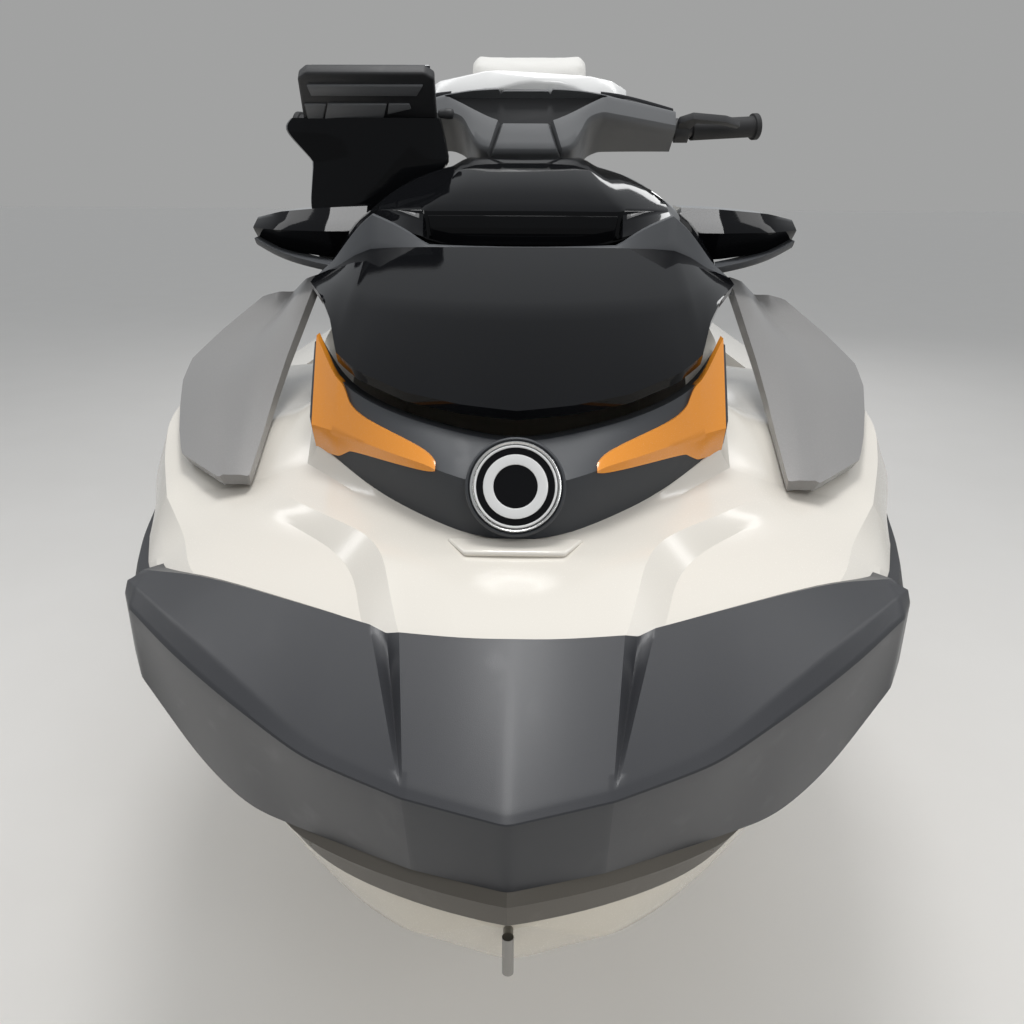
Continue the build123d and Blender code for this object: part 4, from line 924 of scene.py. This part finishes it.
# Solids that keep their shape and get rounded edges: node, body, slot, finish and rounding in mm
KEPT = [
    ("mirror_glass", "hood_body", "mirror_face", MIRROR_SILVER, 0.8),
    ("console", "craft", "console_plastic", MATT_BLACK, 7),
    ("steering_column", "craft", "column_metal", ALLOY, 1),
    ("handlebar", "bars", "bar_metal", BAR_BLACK, 0),
    ("bar_cap", "bars", "cap_paint", CAP_WHITE, 4),
    ("bar_levers", "bars", "lever_plastic", MATT_BLACK, 1.5),
    ("grips", "bars", "grip_rubber", GRIP_BLACK, 1.5),
    ("screen_glass", "craft", "screen_face", SCREEN_GLASS, 0.8),
    ("gauge", "craft", "gauge_face", SCREEN_GLASS, 2),
    ("glovebox_body", "craft", "glovebox_plastic", MATT_BLACK, 2),
    ("glovebox_lid", "glovebox_door", "glovebox_lid_plastic", MATT_BLACK, 3),
    ("seat_pedestal", "craft", "pedestal_metal", ALLOY, 2),
    ("seat_base", "seat", "seat_base_plastic", MATT_BLACK, 4),
    ("cooler_body", "craft", "cooler_plastic", COOLER_GREY, 4),
    ("cooler_lid", "cooler_door", "cooler_lid_plastic", COOLER_GREY, 4),
    ("rod_holders", "craft", "rod_plastic", MATT_BLACK, 1),
    ("rear_platform", "craft", "platform_plastic", CHARCOAL, 6),
    ("boarding_ladder", "ladder", "ladder_metal", ALLOY, 0),
    ("pump_housing", "craft", "pump_metal", PUMP_CAST, 1),
    ("drive_shaft", "rotor", "shaft_steel", BRIGHT_STEEL, 0),
    ("impeller", "rotor", "impeller_steel", BRIGHT_STEEL, 0.8),
    ("steering_nozzle", "nozzle", "nozzle_metal", PUMP_CAST, 1),
    ("reverse_gate", "gate", "gate_plastic", MATT_BLACK, 2),
    ("ride_plate", "craft", "plate_plastic", MATT_BLACK, 3),
    ("intake_grate", "craft", "grate_metal", PUMP_CAST, 2),
    ("sponsons", "craft", "sponson_plastic", MATT_BLACK, 4),
    ("towing_eyes", "craft", "eye_steel", EYE_STEEL, 0),
]
for node, body, slot, material, rounding in KEPT:
    build(node + "_piece", copy_of(node), material, body, [node], bevel=rounding * MM, sharp=30)

# The engine block shows as its own solid
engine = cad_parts["engine_block"]
engine.data.materials.clear()
engine.data.materials.append(ENGINE_CAST)

# Mats with grooves along the craft: stations and half width that the grooves keep to
GROOVED = [(1500, 3255, 470), (3340, 3680, 350)]
GROOVE_PITCH = 34
GROOVE_WIDTH = 5
GROOVE_DEPTH = 0.0025
GROOVES_A_SIDE = 14
bm = copy_of("deck_mats")
cuts = [(at(s, 0, 0), X) for s0, s1, _ in GROOVED for s in (s0, s1)]
for number in range(-GROOVES_A_SIDE, GROOVES_A_SIDE + 1):
    for edge in (-GROOVE_WIDTH / 2, GROOVE_WIDTH / 2):
        cuts.append((Y * (number * GROOVE_PITCH + edge) * MM, Y))
for point, normal in cuts:
    geometry = bm.verts[:] + bm.edges[:] + bm.faces[:]
    bmesh.ops.bisect_plane(bm, geom=geometry, plane_co=point, plane_no=normal)
floors = []
for face in bm.faces:
    s, y, _ = measured(face.calc_center_median())
    beside = abs(y - GROOVE_PITCH * round(y / GROOVE_PITCH))
    inside = any(s0 < s < s1 and y < half for s0, s1, half in GROOVED)
    if face.normal.z > 0.9 and beside < GROOVE_WIDTH / 2 and inside:
        floors.append(face)
pushed(bm, floors, Z * -GROOVE_DEPTH)
build("deck_mats_piece", bm, MAT_FOAM, "craft", ["deck_mats"])


def plate(name, corners, push, material, body, bevel=0.002):
    """Flat plate from station, offset and height corners."""
    build(name, slab([at(*corner) for corner in corners], push), material, body, bevel=bevel)


# Cooler: front latches and raised panel on the lid, grab bars on its sides
for side, name in SIDES:
    latch = [(2609, side * y, z) for y, z in ((150, 912), (190, 912), (184, 850), (156, 850))]
    plate("cooler_latch_" + name, latch, X * 0.008, RAIL_BLACK, "cooler_door", 0.003)
    grab = [(s, side * 317, z) for s, z in ((2710, 780), (2890, 780), (2880, 806), (2720, 806))]
    plate("cooler_grab_" + name, grab, Y * side * 0.012, RAIL_BLACK, "craft", 0.004)
panel = [(2655, -250, 935), (2655, 250, 935), (2985, 250, 935), (2985, -250, 935)]
plate("cooler_lid_panel", panel, Z * 0.005, COOLER_GREY, "cooler_door", 0.003)
catch = [(1640, -22, 782), (1640, 22, 782), (1640, 26, 812), (1640, -26, 812)]
plate("glovebox_catch", catch, X * -0.006, MATT_BLACK, "glovebox_door")


def screw(name, centre, axis, across, radius, material, body):
    """Low round head with a recess."""
    head = [(-2, 0), (-2, radius), (1, radius), (1.8, radius - 1), (1.8, radius * 0.5), (0.6, radius * 0.4),
            (0.6, 0)]
    build(name, turn(head, centre, axis, across, 16), material, body)


for side, name in SIDES:
    place = at(861, side * 118, 904)
    screw("recess_screw_" + name, place, X, Y, 5, BRIGHT_STEEL, "hood_body")
    place = at(479, side * 205, 741)
    screw("accent_screw_" + name, place, X, Y, 4, MATT_BLACK, "craft")
    for number, s in enumerate((TUNNEL_START + 30, TRANSOM - 30)):
        for row, y in enumerate((90, 140)):
            place = at(s, side * y, 30)
            label = f"plate_screw_{name}_{number}_{row}"
            screw(label, place, -Z, X, 6, BRIGHT_STEEL, "craft")

# Seat padding: each pad swells from a slightly smaller block, held at its foot and along its sewn lines
PAD_GAP = 10
PAD_CELL = 0.006
CLOTH_FRAMES = 20
# Sewn lines: offset of the side seams, their two ends, and the places of the cross seams
SEAMS = {
    "seat_cushion": (148, 1845, 2150, (1845, 1955, 2060)),
    "seat_backrest": (104, 930, 1225, (930, 1080, 1225)),
}
SEAM_HALF = 4
SEAM_DEPTH = 0.003
# Height and station where the pads' sewn faces start
CUSHION_FACE = 835
BACKREST_FACE = 2212


def stitched(node, point):
    """Whether a point lies on a sewn line: on the cushion's top, or on the front of the backrest."""
    s, y, z = measured(point)
    side, first, last, cross = SEAMS[node]
    place, on_face = (s, z > CUSHION_FACE) if node == "seat_cushion" else (z, s < BACKREST_FACE)
    on_side = abs(y - side) < SEAM_HALF and first < place < last
    on_cross = any(abs(place - line) < SEAM_HALF for line in cross) and y < side + SEAM_HALF
    return on_face and (on_side or on_cross)


def padded(node, foot, rise):
    """Upholstered pad from a node's solid, blown up as cloth between its held points and then smoothed."""
    solid = copy_of(node)
    low = Vector(min(v.co[i] for v in solid.verts) for i in range(3))
    high = Vector(max(v.co[i] for v in solid.verts) for i in range(3))
    middle = (low + high) / 2
    small = [(size - 2 * PAD_GAP * MM) / size for size in high - low]
    bmesh.ops.scale(solid, vec=small, space=Matrix.Translation(-middle), verts=solid.verts)
    if foot:
        bmesh.ops.translate(solid, vec=Z * -PAD_GAP * MM, verts=solid.verts)
    block = add_mesh(node + "_block", solid)
    put(block.modifiers.new("remesh", "REMESH"), mode="VOXEL", voxel_size=PAD_CELL)
    put(block.modifiers.new("soften", "SMOOTH"), factor=0.5, iterations=6)
    bpy.context.view_layer.update()
    block.data = evaluated(block)
    block.modifiers.clear()
    start = [vertex.co.copy() for vertex in block.data.vertices]
    held = block.vertex_groups.new(name="held")
    # The cushion is held at its foot, the backrest at its back
    resting = [i for i, co in enumerate(start) if (co.z < low.z + 0.004 if foot else co.x < low.x + 0.022)]
    sewn = [i for i, co in enumerate(start) if stitched(node, co)]
    held.add(resting + sewn, 1.0, "REPLACE")
    cloth = block.modifiers.new("cloth", "CLOTH")
    put(cloth.settings, quality=5, mass=0.3, use_pressure=True, uniform_pressure_force=4,
        tension_stiffness=12, compression_stiffness=12, vertex_group_mass="held")
    put(cloth.settings.effector_weights, gravity=0)
    put(cloth.collision_settings, use_collision=False, use_self_collision=False)
    for number in range(1, CLOTH_FRAMES + 1):
        scene.frame_set(number)
    swollen = evaluated(block)
    block.modifiers.clear()
    for vertex, first, last in zip(block.data.vertices, start, swollen.vertices):
        step = last.co - first
        if step.length > rise:
            step = step * (rise / step.length)
        vertex.co = first + step
    scene.frame_set(1)
    bm = bmesh.new()
    bm.from_mesh(block.data)
    bpy.data.objects.remove(block)
    for vertex in bm.verts:
        if stitched(node, start[vertex.index]):
            vertex.co -= vertex.normal * SEAM_DEPTH
    for _ in range(2):
        bmesh.ops.smooth_vert(bm, verts=bm.verts, factor=0.5, use_axis_x=True, use_axis_y=True,
                              use_axis_z=True)
    pad = build(node + "_pad", bm, SEAT_VINYL, "seat", [node], levels=1, sharp=80)


padded("seat_cushion", True, 0.014)
padded("seat_backrest", False, 0.012)

# Studio: pale floor below the keel, grey backdrop, broad soft lamps
FLOOR_Z = -0.655
FLOOR_SIZE = 30
floor_paint = Paint("floor_pale")
speck = floor_paint.noise(3.0, 3.0)
floor_tone = floor_paint.blend(speck, rgb(0.74, 0.72, 0.69), rgb(0.775, 0.757, 0.73))
bm = bmesh.new()
bmesh.ops.create_grid(bm, x_segments=2, y_segments=2, size=FLOOR_SIZE)
bmesh.ops.translate(bm, verts=bm.verts, vec=Z * FLOOR_Z)
floor = add_mesh("floor", bm)
floor.data.materials.append(floor_paint.surface(floor_tone, 0.55 + speck * 0.1))

scene.world = bpy.data.worlds.new("studio")
scene.world.use_nodes = True
sky = scene.world.node_tree
sky.nodes.clear()


def background(red, green, blue, strength):
    """Background of one colour for the world."""
    made = sky.nodes.new("ShaderNodeBackground")
    made.inputs["Color"].default_value = rgb(red, green, blue)
    made.inputs["Strength"].default_value = strength
    return made


# The camera sees one background, and the pieces are lit by another
rays = sky.nodes.new("ShaderNodeLightPath")
seen = sky.nodes.new("ShaderNodeMath")
seen.operation = "MAXIMUM"
sky.links.new(rays.outputs["Is Camera Ray"], seen.inputs[0])
sky.links.new(rays.outputs["Is Transmission Ray"], seen.inputs[1])
lit = background(0.94, 0.97, 1.0, 0.47)
shown = background(0.358, 0.360, 0.358, 1.0)
either = sky.nodes.new("ShaderNodeMixShader")
sky.links.new(seen.outputs[0], either.inputs["Fac"])
sky.links.new(lit.outputs[0], either.inputs[1])
sky.links.new(shown.outputs[0], either.inputs[2])
end = sky.nodes.new("ShaderNodeOutputWorld")
sky.links.new(either.outputs[0], end.inputs["Surface"])

# Lamps: name, place, target, width, length, power
LAMPS = [
    ("lamp_overhead_port", (0.4, 1.7, 3.0), (0.4, 0.0, 0.0), 0.5, 4.5, 31),
    ("lamp_overhead_starboard", (0.4, -1.7, 3.0), (0.4, 0.0, 0.0), 0.5, 4.5, 31),
    ("lamp_nose", (1.15, 0.0, 3.0), (1.6, 0.0, 0.3), 0.7, 0.7, 30),
    ("lamp_bow", (4.4, 1.4, 2.6), (1.4, 0.0, 0.3), 0.9, 0.9, 28),
    ("lamp_stern", (-4.6, 0.6, 2.6), (-0.8, 0.0, 0.3), 2.0, 2.0, 46),
]
for name, place, target, width, length, power in LAMPS:
    lamp = bpy.data.lights.new(name, "AREA")
    stand = add_object(name, put(lamp, shape="RECTANGLE", size=width, size_y=length, energy=power))
    stand.location = place
    stand.rotation_euler = (Vector(target) - Vector(place)).to_track_quat("-Z", "Y").to_euler()

# Camera: ahead of the bow and above it, looking down and a touch to starboard
EYE = at(-580.4, 14.6, 1008.1)
HEADING, PITCH, ROLL = (math.radians(angle) for angle in (91.124, 70.166, 0.249))
camera = put(bpy.data.cameras.new("camera"), sensor_width=36, lens=33.97)
turned = Matrix.Rotation(HEADING, 4, "Z") @ Matrix.Rotation(PITCH, 4, "X") @ Matrix.Rotation(ROLL, 4, "Z")
viewpoint = add_object("camera", camera)
viewpoint.matrix_world = Matrix.Translation(EYE) @ turned
scene.camera = viewpoint
scene.view_settings.view_transform = "Standard"
